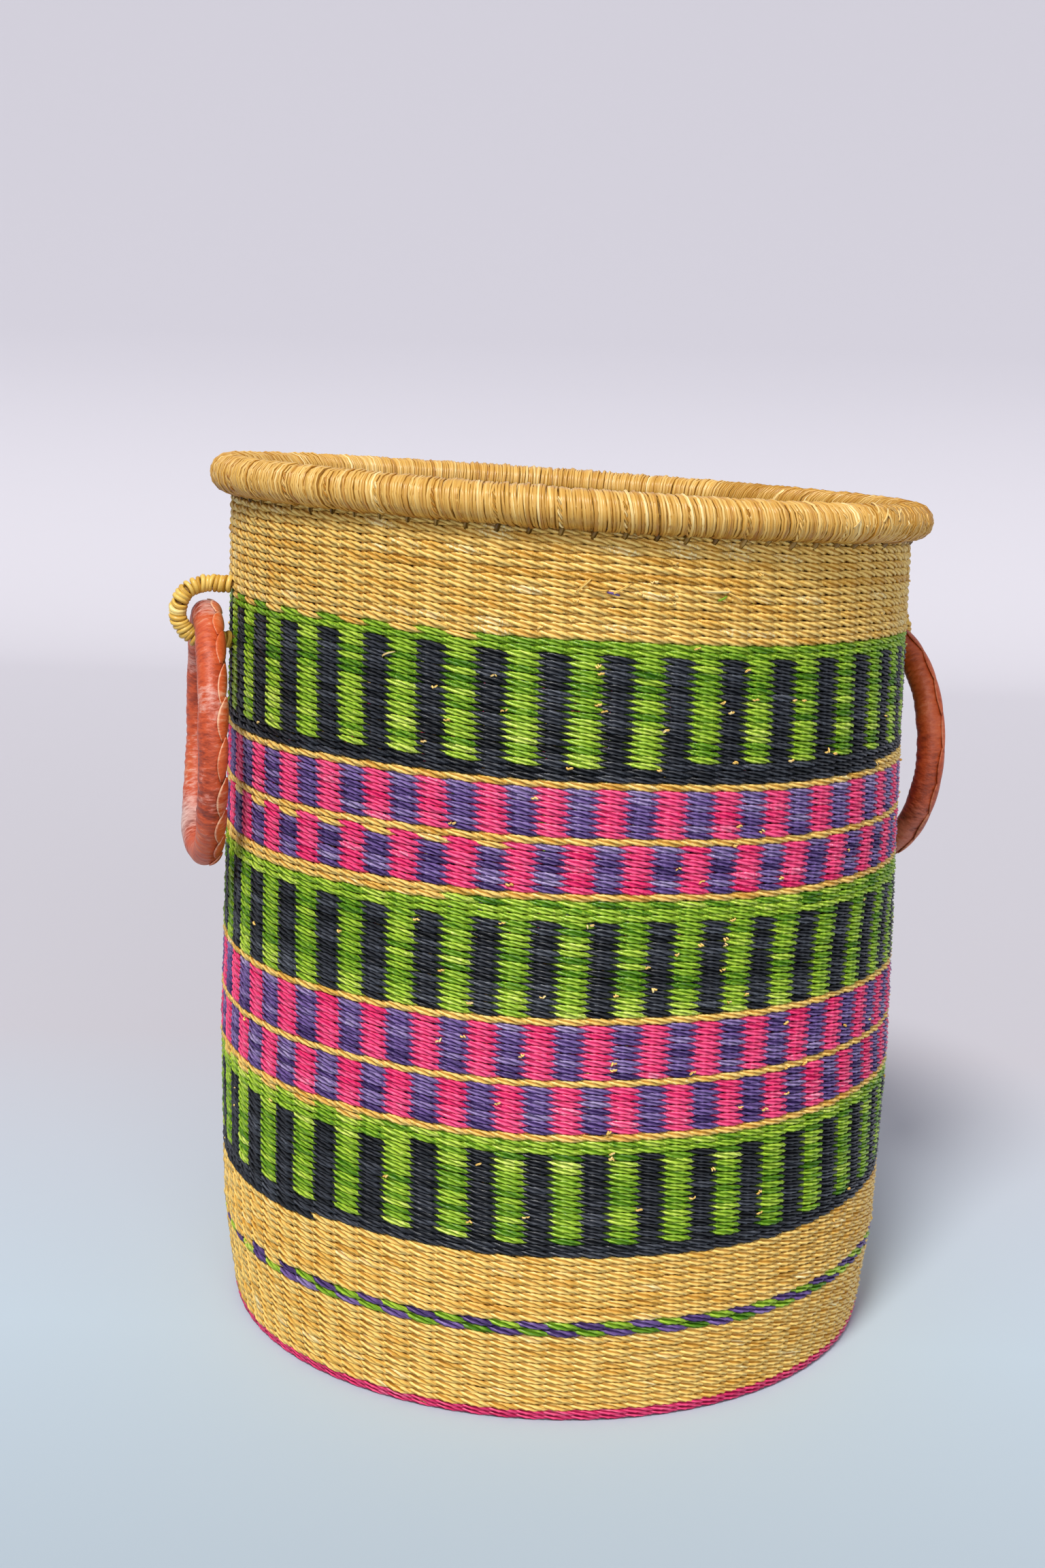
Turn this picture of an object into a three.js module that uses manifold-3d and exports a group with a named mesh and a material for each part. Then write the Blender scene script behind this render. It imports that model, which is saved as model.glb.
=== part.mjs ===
// Bolga basket: a tall round hamper twined from dyed elephant grass, with a straw-wrapped rim
// and two leather carrying rings that hang in straw-wrapped loops.
//
// Lengths are millimetres, +Z is up, and the origin is the middle of the underside.
// The left handle is at -X. The wall is a sandwich: the outer pass of the weft in coloured
// bands, the upright stakes, and the inner pass of the weft.

import * as THREE from 'three';
import { mergeVertices } from 'three/addons/utils/BufferGeometryUtils.js';
import Module from 'manifold-3d';

const wasm = await Module();
wasm.setup();

// Driving dimensions of the weave
const stakeCount = 82;
const stakeWidth = 2.6;
const stakeThickness = 2.4;
const weftThickness = 2.5;
const dyedRowHeight = 3.87;
const lineRowHeight = 4.1;
const naturalRowHeight = 4.4;
const topRowHeight = 4.6;
const edgeRowHeight = 5.8;
const clearance = 0.3;

// Driving dimensions of the wall and the base
const baseRadius = 207;
const heelRadius = 214.6;
const bellyRadius = 217.2;
const topRadius = 212.4;
const baseWeftThickness = 2.4;
const baseStepHeight = 0.6;
const stakeCentreRadius = 40;
const stakeRimReach = 2;

// Driving dimensions of the rim
const rimRollRadius = 11;
const rimOverhang = 1.6;
const rimWrapThickness = 2;
const leanRise = 8.3;

// Driving dimensions of the handles
const loopBendRadius = 17;
const loopStandOff = 16;
const loopCoreRadius = 2.4;
const loopStrawRadius = 1.2;
const ringHalfHeight = 73;
const ringHalfWidth = 59;
const ringRadius = 9.1;
const leatherThickness = 1.1;
const laceWidth = 6.4;
const laceThickness = 1.6;
const laceProud = 0.4;
const laceLeafPitch = 20;
const leftLoopHeight = 446.4;
const rightLoopHeight = 434;

// Directions, counts and turns
// The weave is turned a little, so that each handle's legs pass beside a stake.
const weaveTurn = THREE.MathUtils.degToRad(-1);
const leftHandleAngle = Math.PI;
const rightHandleAngle = 2 * Math.PI / stakeCount;
const leftRingTurn = THREE.MathUtils.degToRad(-2.75);
const rightRingTurn = THREE.MathUtils.degToRad(7.3);
const leftSeamTurn = THREE.MathUtils.degToRad(-45);
const rightSeamTurn = THREE.MathUtils.degToRad(35);
const highSideAngle = THREE.MathUtils.degToRad(155);
const rimWrapStart = THREE.MathUtils.degToRad(-90);
const rimWrapEnd = THREE.MathUtils.degToRad(216);
const facets = stakeCount / 2;
const rimCoreSides = 8;
const rimWrapSteps = 7;
const loopTurns = 15;
const loopBendSteps = 9;
const loopCoreSides = 6;
const loopStrawSides = 5;
const loopStrawSteps = 8;
const legHoleSides = 8;
const ringSteps = 26;
const ringCoreSides = 6;
const leatherSteps = 6;

// Finishes
const finish = (colour, roughness) => (
  new THREE.MeshStandardMaterial({ color: colour, roughness, metalness: 0 })
);
const naturalStraw = finish('#dfb45c', 0.6);
const greenStraw = finish('#7fb727', 0.6);
const pinkStraw = finish('#ee3f77', 0.6);
const darkPinkStraw = finish('#cc2560', 0.6);
const purpleStraw = finish('#574a8a', 0.6);
const rimStraw = finish('#d9ae58', 0.6);
const stakeStraw = finish('#c9a45a', 0.7);
const grassCore = finish('#b99a5b', 0.9);
const leather = finish('#c4552f', 0.55);
const lacedLeather = finish('#d9683a', 0.5);

// Helpers

// Revolves a closed outline of [radius, height] points about the Z axis. The outline runs up
// its outer side first, so that the faces point outwards.
function revolve(outline, count = facets) {
  const points = outline.map(([radius, height]) => new THREE.Vector2(radius, height));
  const closes = outline[0][0] === 0;
  if (!closes) points.push(points[0].clone());
  return new THREE.LatheGeometry(points, count).rotateX(Math.PI / 2).rotateZ(weaveTurn);
}

// Skins rows of points with the same count into one closed body: the rows join up end to end
// as a ring, or the first and last rows are closed by flat caps.
function skin(rows, joined) {
  const sides = rows[0].length;
  const positions = rows.flat().flatMap((point) => point.toArray());
  const faces = [];
  const spans = joined ? rows.length : rows.length - 1;
  for (let row = 0; row < spans; row += 1) {
    const here = row * sides;
    const next = ((row + 1) % rows.length) * sides;
    for (let side = 0; side < sides; side += 1) {
      const other = (side + 1) % sides;
      faces.push(here + side, here + other, next + other);
      faces.push(here + side, next + other, next + side);
    }
  }
  if (!joined) {
    const last = (rows.length - 1) * sides;
    for (let side = 1; side < sides - 1; side += 1) {
      faces.push(0, side + 1, side);
      faces.push(last, last + side, last + side + 1);
    }
  }
  const geometry = new THREE.BufferGeometry();
  geometry.setAttribute('position', new THREE.Float32BufferAttribute(positions, 3));
  geometry.setIndex(faces);
  geometry.computeVertexNormals();
  return geometry;
}

// Sweeps a round section along a path of points without letting it twist.
function sweepRound(path, radius, sides) {
  const rows = [];
  let across = new THREE.Vector3();
  path.forEach((point, index) => {
    const before = path[Math.max(index - 1, 0)];
    const after = path[Math.min(index + 1, path.length - 1)];
    const along = after.clone().sub(before).normalize();
    if (index === 0) {
      const upright = Math.abs(along.z) > Math.SQRT1_2;
      across = upright ? new THREE.Vector3(1, 0, 0) : new THREE.Vector3(0, 0, 1);
    }
    across = across.addScaledVector(along, -across.dot(along)).normalize();
    const up = along.clone().cross(across);
    const row = [];
    for (let side = 0; side < sides; side += 1) {
      const turn = 2 * Math.PI * side / sides;
      row.push(point.clone()
        .addScaledVector(across, radius * Math.cos(turn))
        .addScaledVector(up, radius * Math.sin(turn)));
    }
    rows.push(row);
  });
  return skin(rows, false);
}

function toSolid(geometry) {
  const plain = geometry.clone();
  plain.deleteAttribute('normal');
  plain.deleteAttribute('uv');
  const merged = mergeVertices(plain);
  return new wasm.Manifold(new wasm.Mesh({
    numProp: 3,
    vertProperties: new Float32Array(merged.attributes.position.array),
    triVerts: new Uint32Array(merged.index.array),
  }));
}

function toGeometry(solid) {
  const mesh = solid.getMesh();
  const geometry = new THREE.BufferGeometry();
  geometry.setAttribute('position', new THREE.BufferAttribute(mesh.vertProperties, 3));
  geometry.setIndex(new THREE.BufferAttribute(mesh.triVerts, 1));
  geometry.computeVertexNormals();
  return geometry;
}

// The bands of the outer weft, from the floor up
const bandRows = [
  ['pink_base_edge', 1, edgeRowHeight, darkPinkStraw],
  ['natural_band_lower_b', 11, naturalRowHeight, naturalStraw],
  ['green_purple_line', 2, naturalRowHeight, purpleStraw],
  ['natural_band_lower_a', 9, naturalRowHeight, naturalStraw],
  ['green_black_band_lower', 18, dyedRowHeight, greenStraw],
  ['natural_line_6', 1, lineRowHeight, naturalStraw],
  ['pink_purple_band_4', 7, dyedRowHeight, pinkStraw],
  ['natural_line_5', 1, lineRowHeight, naturalStraw],
  ['pink_purple_band_3', 8, dyedRowHeight, pinkStraw],
  ['natural_line_4', 1, lineRowHeight, naturalStraw],
  ['green_black_band_middle', 17, dyedRowHeight, greenStraw],
  ['natural_line_3', 1, lineRowHeight, naturalStraw],
  ['pink_purple_band_2', 7, dyedRowHeight, pinkStraw],
  ['natural_line_2', 1, lineRowHeight, naturalStraw],
  ['pink_purple_band_1', 7, dyedRowHeight, pinkStraw],
  ['natural_line_1', 1, lineRowHeight, naturalStraw],
  ['green_black_band_upper', 20, dyedRowHeight, greenStraw],
  ['natural_band_top', 13, topRowHeight, naturalStraw],
];

const bands = new Map();
let laidHeight = clearance;
for (const [name, rows, rowHeight, material] of bandRows) {
  const top = laidHeight + rows * rowHeight;
  bands.set(name, { bottom: laidHeight, top, material });
  laidHeight = top;
}
const wallTop = laidHeight;

// The wall's outer shape, as [height, radius] knees joined by straight runs
const wallKnees = [
  [0, baseRadius],
  [bands.get('green_purple_line').top, heelRadius],
  [bands.get('natural_line_6').top, bellyRadius],
  [wallTop, topRadius],
];

function outerRadius(height) {
  const last = wallKnees.length - 1;
  const above = wallKnees.findIndex(([knee]) => knee >= height);
  const upper = above < 1 ? (above === 0 ? 1 : last) : above;
  const [lowHeight, lowRadius] = wallKnees[upper - 1];
  const [highHeight, highRadius] = wallKnees[upper];
  return THREE.MathUtils.mapLinear(height, lowHeight, highHeight, lowRadius, highRadius);
}

// The layers inside the wall. A stake stands a quarter of a facet from its middle, where a
// faceted face is nearer the axis than at its corners by this share.
const flatShare = Math.cos(Math.PI / facets) / Math.cos(Math.PI / stakeCount);
const outerWeftInside = (height) => outerRadius(height) - weftThickness;
const stakeOutside = (height) => outerWeftInside(height) * flatShare - clearance;
const stakeInside = (height) => stakeOutside(height) - stakeThickness;
const innerWeftOutside = (height) => stakeInside(height) - clearance;
const innerWeftInside = (height) => innerWeftOutside(height) - weftThickness;

// Heights in the base
const stakeBottom = baseWeftThickness + clearance;
const stakeTopOfBase = stakeBottom + stakeThickness;
const floorBottom = stakeTopOfBase + clearance;
const floorTop = floorBottom + baseWeftThickness;

// The rim roll sits on the wall's top edge and hangs over its outer side.
const rimWrapStep = (rimWrapEnd - rimWrapStart) / rimWrapSteps;
const rimWrapInside = rimRollRadius - rimWrapThickness;
const rimCoreRadius = rimWrapInside - clearance;
const rimRadius = topRadius + rimOverhang;
const rimHeight = wallTop + clearance + rimCoreRadius;

// Handle sizes that follow from the driving ones
const halfStrawStep = Math.PI / loopStrawSteps;
const loopHelixRadius = (loopCoreRadius + clearance + loopStrawRadius) / Math.cos(halfStrawStep);
const loopOutsideRadius = loopHelixRadius + loopStrawRadius;
const laceOutside = ringRadius + laceProud;
const ringDrop = loopBendRadius - loopOutsideRadius - laceOutside - clearance;

const left = handlePlace(leftHandleAngle, leftLoopHeight, leftRingTurn, leftSeamTurn);
const right = handlePlace(rightHandleAngle, rightLoopHeight, rightRingTurn, rightSeamTurn);

// A loop stands off far enough for the ring to hang clear of the wall's widest part.
function handlePlace(angle, loopHeight, ringTurn, seamTurn) {
  const bendRadius = Math.max(
    outerRadius(loopHeight) + loopStandOff,
    bellyRadius + laceOutside + clearance,
  );
  const ringHeight = loopHeight - ringDrop;
  return { angle, loopHeight, ringTurn, seamTurn, bendRadius, ringHeight };
}

// Wall, base and rim

// The basket was worked by hand, so its upper rows climb towards one side. The rise starts from
// nothing at a level row and grows up to the rim.
const levelHeight = bands.get('natural_line_4').top;

function riseAt(x, y, height) {
  const heightShare = Math.max(height - levelHeight, 0) / (wallTop - levelHeight);
  const towards = x * Math.cos(highSideAngle) + y * Math.sin(highSideAngle);
  return leanRise * heightShare * towards / topRadius;
}

function lean(geometry) {
  const places = geometry.attributes.position;
  for (let index = 0; index < places.count; index += 1) {
    const x = places.getX(index);
    const y = places.getY(index);
    const height = places.getZ(index);
    places.setZ(index, height + riseAt(x, y, height));
  }
  geometry.computeVertexNormals();
  return geometry;
}

function bandGeometry({ bottom, top }) {
  const low = bottom + clearance / 2;
  const high = top - clearance / 2;
  return revolve([
    [outerRadius(low), low],
    [outerRadius(high), high],
    [outerWeftInside(high), high],
    [outerWeftInside(low), low],
  ]);
}

// The pink rope round the heel is one thick row with a rounded outer side.
function edgeGeometry({ bottom, top }) {
  const low = bottom + clearance / 2;
  const high = top - clearance / 2;
  const round = weftThickness / 2;
  return revolve([
    [outerRadius(low) - round, low],
    [outerRadius(low), low + round],
    [outerRadius(high), high - round],
    [outerRadius(high) - round, high],
    [outerWeftInside(high), high],
    [outerWeftInside(low), low],
  ]);
}

// The inner pass stands on the floor disc and reaches up into the rim roll.
function innerWeftGeometry() {
  const bottom = floorTop + clearance;
  const kneeHeights = wallKnees.map(([height]) => height).filter((height) => height > bottom);
  const heights = [bottom, ...kneeHeights];
  const outside = heights.map((height) => [innerWeftOutside(height), height]);
  const inside = heights.map((height) => [innerWeftInside(height), height]);
  return revolve([...outside, ...inside.reverse()]);
}

// The underside and the inside floor are flat twined discs. Each has one stepped row near
// its edge, on the side that shows.
function baseWeftGeometry() {
  const radius = outerWeftInside(0) * flatShare - clearance;
  const stepRadius = radius - naturalRowHeight;
  return revolve([
    [0, 0],
    [stepRadius, 0],
    [radius, baseStepHeight],
    [radius, baseWeftThickness],
    [0, baseWeftThickness],
  ]);
}

// The floor's edge is bevelled, where its rows turn up into the wall.
function floorWeftGeometry() {
  return revolve([
    [0, floorBottom],
    [innerWeftOutside(floorBottom), floorBottom],
    [innerWeftInside(floorTop) - clearance, floorTop],
    [0, floorTop],
  ]);
}

// One stake: a straw strip that leaves the crossed centre, bends up at the heel and runs up
// the wall into the rim.
function stakeGeometry(index) {
  const top = wallTop + stakeRimReach;
  const heights = [stakeTopOfBase, ...wallKnees.slice(1, -1).map(([height]) => height), top];
  const inside = heights.map((height) => [stakeInside(height), height]);
  const outside = [stakeBottom, ...heights.slice(1)].map((height) => [stakeOutside(height), height]);
  const start = stakeCentreRadius / 2;
  const outline = [[start, stakeBottom], ...outside, ...inside.reverse(), [start, stakeTopOfBase]];
  const shape = new THREE.Shape(outline.map(([x, y]) => new THREE.Vector2(x, y)));
  return new THREE.ExtrudeGeometry(shape, { depth: stakeWidth, bevelEnabled: false })
    .translate(0, 0, -stakeWidth / 2)
    .rotateX(Math.PI / 2)
    .rotateZ(2 * Math.PI * (index + 0.5) / stakeCount + weaveTurn);
}

// The stakes cross at the middle of the base, so the whole warp is one body.
function stakesGeometry() {
  const centre = revolve([
    [0, stakeBottom],
    [stakeCentreRadius, stakeBottom],
    [stakeCentreRadius, stakeTopOfBase],
    [0, stakeTopOfBase],
  ]);
  const solids = [toSolid(centre)];
  for (let index = 0; index < stakeCount; index += 1) solids.push(toSolid(stakeGeometry(index)));
  return toGeometry(wasm.Manifold.union(solids));
}

function arcPoints(radius, from, to, steps) {
  const points = [];
  for (let step = 0; step <= steps; step += 1) {
    const turn = THREE.MathUtils.lerp(from, to, step / steps);
    points.push([rimRadius + radius * Math.cos(turn), rimHeight + radius * Math.sin(turn)]);
  }
  return points;
}

function rimCoreGeometry() {
  const whole = arcPoints(rimCoreRadius, rimWrapStart, rimWrapStart + 2 * Math.PI, rimCoreSides);
  return revolve(whole.slice(0, rimCoreSides));
}

// The wrap goes round the core from the wall's outer face, over the top, and down to its
// inner edge. It is open where the wall enters.
function rimWrapGeometry() {
  const cornerRadius = rimWrapInside / Math.cos(rimWrapStep / 2);
  const outside = arcPoints(rimRollRadius, rimWrapStart, rimWrapEnd, rimWrapSteps);
  const inside = arcPoints(cornerRadius, rimWrapStart, rimWrapEnd, rimWrapSteps);
  return revolve([...outside, ...inside.reverse()]);
}

// Handles. Each is built at the +X side, in its own upright radial plane, and then turned
// round to its place.

function loopPath({ loopHeight, bendRadius }, steps) {
  const inner = (height) => innerWeftOutside(height) + clearance;
  const high = loopHeight + loopBendRadius;
  const low = loopHeight - loopBendRadius;
  const path = [new THREE.Vector3(inner(high), 0, high)];
  for (let step = 0; step <= steps; step += 1) {
    const turn = Math.PI * (0.5 - step / steps);
    path.push(new THREE.Vector3(
      bendRadius + loopBendRadius * Math.cos(turn),
      0,
      loopHeight + loopBendRadius * Math.sin(turn),
    ));
  }
  path.push(new THREE.Vector3(inner(low), 0, low));
  return path;
}

function loopCoreGeometry(place) {
  const path = loopPath(place, loopBendSteps);
  return sweepRound(path, loopCoreRadius, loopCoreSides).rotateZ(place.angle);
}

// A point on the loop's centre line, by the distance travelled from the wall's outer face
// along the upper leg, with the direction of travel.
function loopStation(place, travelled) {
  const high = place.loopHeight + loopBendRadius;
  const wallFace = outerRadius(high);
  const legLength = place.bendRadius - wallFace;
  const bendLength = Math.PI * loopBendRadius;
  if (travelled <= legLength) {
    return {
      point: new THREE.Vector3(wallFace + travelled, 0, high),
      along: new THREE.Vector3(1, 0, 0),
    };
  }
  if (travelled >= legLength + bendLength) {
    const back = travelled - legLength - bendLength;
    return {
      point: new THREE.Vector3(place.bendRadius - back, 0, place.loopHeight - loopBendRadius),
      along: new THREE.Vector3(-1, 0, 0),
    };
  }
  const turn = Math.PI / 2 - (travelled - legLength) / loopBendRadius;
  return {
    point: new THREE.Vector3(
      place.bendRadius + loopBendRadius * Math.cos(turn),
      0,
      place.loopHeight + loopBendRadius * Math.sin(turn),
    ),
    along: new THREE.Vector3(Math.sin(turn), 0, -Math.cos(turn)),
  };
}

// The straw winding: one unbroken helix round the loop. Both ends run straight for a straw's
// width, square to the wall's face.
function windingPath(place) {
  const straw = 2 * loopStrawRadius;
  const high = place.loopHeight + loopBendRadius;
  const low = place.loopHeight - loopBendRadius;
  const upperLeg = place.bendRadius - outerRadius(high);
  const lowerLeg = place.bendRadius - outerRadius(low);
  const whole = upperLeg + Math.PI * loopBendRadius + lowerLeg;
  const steps = loopTurns * loopStrawSteps;
  const ease = straw / 2;
  const first = clearance + straw + ease;
  const last = whole - clearance - straw - ease;
  const stations = [[clearance, 0], [clearance + straw, 0]];
  for (let step = 1; step < steps; step += 1) {
    const share = step / steps;
    stations.push([THREE.MathUtils.lerp(first, last, share), 2 * Math.PI * loopTurns * share]);
  }
  stations.push([whole - clearance - straw, 2 * Math.PI * loopTurns]);
  stations.push([whole - clearance, 2 * Math.PI * loopTurns]);
  const sideways = new THREE.Vector3(0, 1, 0);
  return stations.map(([travelled, turn]) => {
    const { point, along } = loopStation(place, travelled);
    const outward = along.clone().cross(sideways).negate();
    return point
      .addScaledVector(outward, loopHelixRadius * Math.cos(turn))
      .addScaledVector(sideways, loopHelixRadius * Math.sin(turn));
  });
}

// The least gap of the winding to itself, measured between the points of its path that lie
// over half a turn from each other.
function leastSelfGap(path, radius) {
  const apart = loopStrawSteps / 2 + 1;
  let least = Infinity;
  for (let one = 0; one < path.length; one += 1) {
    for (let other = one + apart; other < path.length; other += 1) {
      least = Math.min(least, path[one].distanceTo(path[other]) - 2 * radius);
    }
  }
  return least;
}

function loopWindingGeometry(place, name) {
  const path = windingPath(place);
  const gap = leastSelfGap(path, loopStrawRadius);
  console.log(`${name}: ${loopTurns} turns, least gap to itself ${gap.toFixed(2)} mm`);
  return sweepRound(path, loopStrawRadius, loopStrawSides).rotateZ(place.angle);
}

// The ring is an upright oval that hangs from the loop. A section of [outward, sideways]
// points is carried round it: outward is away from the oval's middle, sideways is towards
// the basket's outside.
function sweepOval(sectionAt, steps, place) {
  const rows = [];
  const centreHeight = place.ringHeight - ringHalfHeight;
  for (let step = 0; step < steps; step += 1) {
    const turn = 2 * Math.PI * step / steps;
    const point = new THREE.Vector3(
      0,
      ringHalfWidth * Math.sin(turn),
      ringHalfHeight * Math.cos(turn),
    );
    const outward = new THREE.Vector3(
      0,
      ringHalfHeight * Math.sin(turn),
      ringHalfWidth * Math.cos(turn),
    ).normalize();
    rows.push(sectionAt(step).map(([out, side]) => (
      point.clone().addScaledVector(outward, out).add(new THREE.Vector3(side, 0, 0))
    )));
  }
  return skin(rows, true)
    .rotateZ(place.ringTurn)
    .translate(place.bendRadius, 0, centreHeight)
    .rotateZ(place.angle);
}

const ringInside = ringRadius - leatherThickness;
const slitAngle = Math.atan2(laceWidth / 2 + 2 * clearance, ringInside);
const leatherStep = 2 * (Math.PI - slitAngle) / leatherSteps;
const ringCoreRadius = ringInside * Math.cos(leatherStep / 2) - clearance;

function sectionArc(radius, from, to, steps) {
  const points = [];
  for (let step = 0; step <= steps; step += 1) {
    const turn = THREE.MathUtils.lerp(from, to, step / steps);
    points.push([radius * Math.cos(turn), radius * Math.sin(turn)]);
  }
  return points;
}

function ringCoreGeometry(place) {
  const whole = sectionArc(ringCoreRadius, 0, 2 * Math.PI, ringCoreSides);
  const section = whole.slice(0, ringCoreSides);
  return sweepOval(() => section, ringSteps, place);
}

// The leather goes round the core and stops either side of the laced seam.
function leatherGeometry(place) {
  const from = place.seamTurn + slitAngle;
  const to = place.seamTurn + 2 * Math.PI - slitAngle;
  const outside = sectionArc(ringRadius, from, to, leatherSteps);
  const inside = sectionArc(ringInside, from, to, leatherSteps).reverse();
  return sweepOval(() => [...outside, ...inside], ringSteps, place);
}

// The lace is a braided thong along the seam. Its leaves make a scalloped edge.
function laceGeometry(place) {
  const perimeter = Math.PI * (ringHalfWidth + ringHalfHeight);
  const leaves = Math.round(perimeter / laceLeafPitch);
  const narrowShare = 0.7;
  const top = laceOutside;
  const bottom = laceOutside - laceThickness;
  return sweepOval((step) => {
    const half = (laceWidth / 2) * (step % 2 === 0 ? 1 : narrowShare);
    const cosine = Math.cos(place.seamTurn);
    const sine = Math.sin(place.seamTurn);
    return [[bottom, -half], [top, -half / 2], [top, half / 2], [bottom, half]]
      .map(([out, side]) => [out * cosine - side * sine, out * sine + side * cosine]);
  }, 2 * leaves, place);
}

// The legs of the loops pass through the outer weft, so the bands that they cross have holes.
function cutLegs(geometry, { bottom, top }) {
  const holeRadius = loopCoreRadius + clearance;
  let cut = null;
  for (const { angle, loopHeight } of [left, right]) {
    for (const height of [loopHeight + loopBendRadius, loopHeight - loopBendRadius]) {
      const radius = outerRadius(height);
      const rise = riseAt(radius * Math.cos(angle), radius * Math.sin(angle), height);
      const wovenHeight = height - rise;
      if (wovenHeight + holeRadius < bottom || wovenHeight - holeRadius > top) continue;
      const hole = new THREE.CylinderGeometry(
        holeRadius,
        holeRadius,
        4 * weftThickness,
        legHoleSides,
      )
        .rotateZ(Math.PI / 2)
        .translate(radius, 0, height)
        .rotateZ(angle);
      cut = (cut || toSolid(geometry)).subtract(toSolid(hole));
    }
  }
  return cut ? toGeometry(cut) : geometry;
}

// Assembly

const basket = new THREE.Group();

function addPiece(name, geometry, material) {
  const mesh = new THREE.Mesh(geometry, material);
  mesh.name = name;
  basket.add(mesh);
}

addPiece('stakes', lean(stakesGeometry()), stakeStraw);
addPiece('base_weft', baseWeftGeometry(), naturalStraw);
addPiece('floor_weft', floorWeftGeometry(), naturalStraw);
addPiece('inner_weft', lean(innerWeftGeometry()), naturalStraw);

for (const [name, band] of bands) {
  const level = name === 'pink_base_edge' ? edgeGeometry(band) : bandGeometry(band);
  addPiece(name, cutLegs(lean(level), band), band.material);
}

addPiece('rim_core', lean(rimCoreGeometry()), grassCore);
addPiece('rim_wrap', lean(rimWrapGeometry()), rimStraw);

for (const [side, place] of [['left', left], ['right', right]]) {
  addPiece(`${side}_loop_core`, loopCoreGeometry(place), grassCore);
  const winding = `${side}_loop_winding`;
  addPiece(winding, loopWindingGeometry(place, winding), rimStraw);
  addPiece(`${side}_ring_core`, ringCoreGeometry(place), grassCore);
  addPiece(`${side}_ring_leather`, leatherGeometry(place), leather);
  addPiece(`${side}_ring_lace`, laceGeometry(place), lacedLeather);
}

export default basket;
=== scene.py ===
# %% [markdown]
# # A bolga basket
# A tall hamper from northern Ghana's weaving tradition: straw of elephant grass is dyed, twisted
# and twined round upright stakes, two strands at a time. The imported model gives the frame: the
# size of every layer, the hinges of the rings and the leaning rim. This script makes what is
# seen, in metres, in that same frame.

# %% Load the frame
import math

import bmesh
import bpy
import numpy as np
from mathutils import Matrix, Vector


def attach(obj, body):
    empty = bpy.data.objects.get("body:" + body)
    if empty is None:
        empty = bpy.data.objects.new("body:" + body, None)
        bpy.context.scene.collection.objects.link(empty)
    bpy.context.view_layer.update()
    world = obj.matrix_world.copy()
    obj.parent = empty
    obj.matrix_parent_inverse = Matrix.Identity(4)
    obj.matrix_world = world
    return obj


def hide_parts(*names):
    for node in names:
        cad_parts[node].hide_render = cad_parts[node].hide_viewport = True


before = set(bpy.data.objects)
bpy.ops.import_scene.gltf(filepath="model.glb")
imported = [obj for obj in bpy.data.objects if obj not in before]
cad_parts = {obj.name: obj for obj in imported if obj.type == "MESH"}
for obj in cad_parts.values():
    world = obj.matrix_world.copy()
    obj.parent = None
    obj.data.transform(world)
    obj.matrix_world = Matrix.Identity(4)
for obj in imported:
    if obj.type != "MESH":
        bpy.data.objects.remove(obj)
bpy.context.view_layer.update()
MM = 0.001
scene = bpy.context.scene

# %% [markdown]
# ## The camera
# The photograph was taken from a little above the rim's height, close by, and the camera leaned
# slightly. Its place was worked out from the rim, the base and the stripes.

# %% Set up the camera
VIEW_TURN = math.radians(-16.9)
CAMERA_DISTANCE = 1250 * MM
CAMERA_HEIGHT = 557 * MM
CAMERA_YAW = math.radians(1.162)
CAMERA_PITCH = math.radians(-10.089)
CAMERA_ROLL = math.radians(-1.706)
FOCAL_LENGTH = 44.91
FILM_HEIGHT = 36

camera_data = bpy.data.cameras.new("camera")
camera_data.sensor_fit = "VERTICAL"
camera_data.sensor_height = FILM_HEIGHT
camera_data.lens = FOCAL_LENGTH
camera = bpy.data.objects.new("camera", camera_data)
scene.collection.objects.link(camera)
aim = (
    Matrix.Rotation(CAMERA_YAW, 4, "Z")
    @ Matrix.Rotation(CAMERA_PITCH, 4, "X")
    @ Matrix.Rotation(CAMERA_ROLL, 4, "Y")
    @ Matrix.Rotation(math.pi / 2, 4, "X")
)
stand = Matrix.Translation((0, -CAMERA_DISTANCE, CAMERA_HEIGHT))
camera.matrix_world = Matrix.Rotation(VIEW_TURN, 4, "Z") @ stand @ aim
scene.camera = camera
print("camera at", [round(value, 3) for value in camera.matrix_world.translation])

# %% [markdown]
# ## Colours and nodes
# Colours are written as they look on a screen and turned to linear light by one function. One
# more function adds a shader node with its settings, and the last joins up a finished piece.

# %% Helpers for materials and pieces
def linear(hex_colour):
    """An sRGB hex colour as linear RGBA."""
    values = [int(hex_colour[place : place + 2], 16) / 255 for place in (1, 3, 5)]
    return [v / 12.92 if v <= 0.04045 else ((v + 0.055) / 1.055) ** 2.4 for v in values] + [1]


def set_inputs(node, **inputs):
    """Sets a node's inputs to values, or links them to a socket or to a node's first output."""
    for name, value in inputs.items():
        socket = node.inputs[int(name[1:]) if name[1:].isdigit() else name.replace("_", " ")]
        if isinstance(value, bpy.types.Node):
            value = value.outputs[0]
        if isinstance(value, bpy.types.NodeSocket):
            node.id_data.links.new(value, socket)
        else:
            socket.default_value = value


def add_node(tree, kind, settings=None, **inputs):
    """Adds a node, with its properties as settings and with its inputs."""
    node = tree.nodes.new(kind)
    for name, value in (settings or {}).items():
        setattr(node, name, value)
    set_inputs(node, **inputs)
    return node


def new_material(name):
    """A material with an empty principled surface, and its node tree."""
    material = bpy.data.materials.new(name)
    material.use_nodes = True
    tree = material.node_tree
    tree.nodes.clear()
    surface = add_node(tree, "ShaderNodeBsdfPrincipled")
    add_node(tree, "ShaderNodeOutputMaterial", Surface=surface)
    return material, tree, surface


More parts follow.
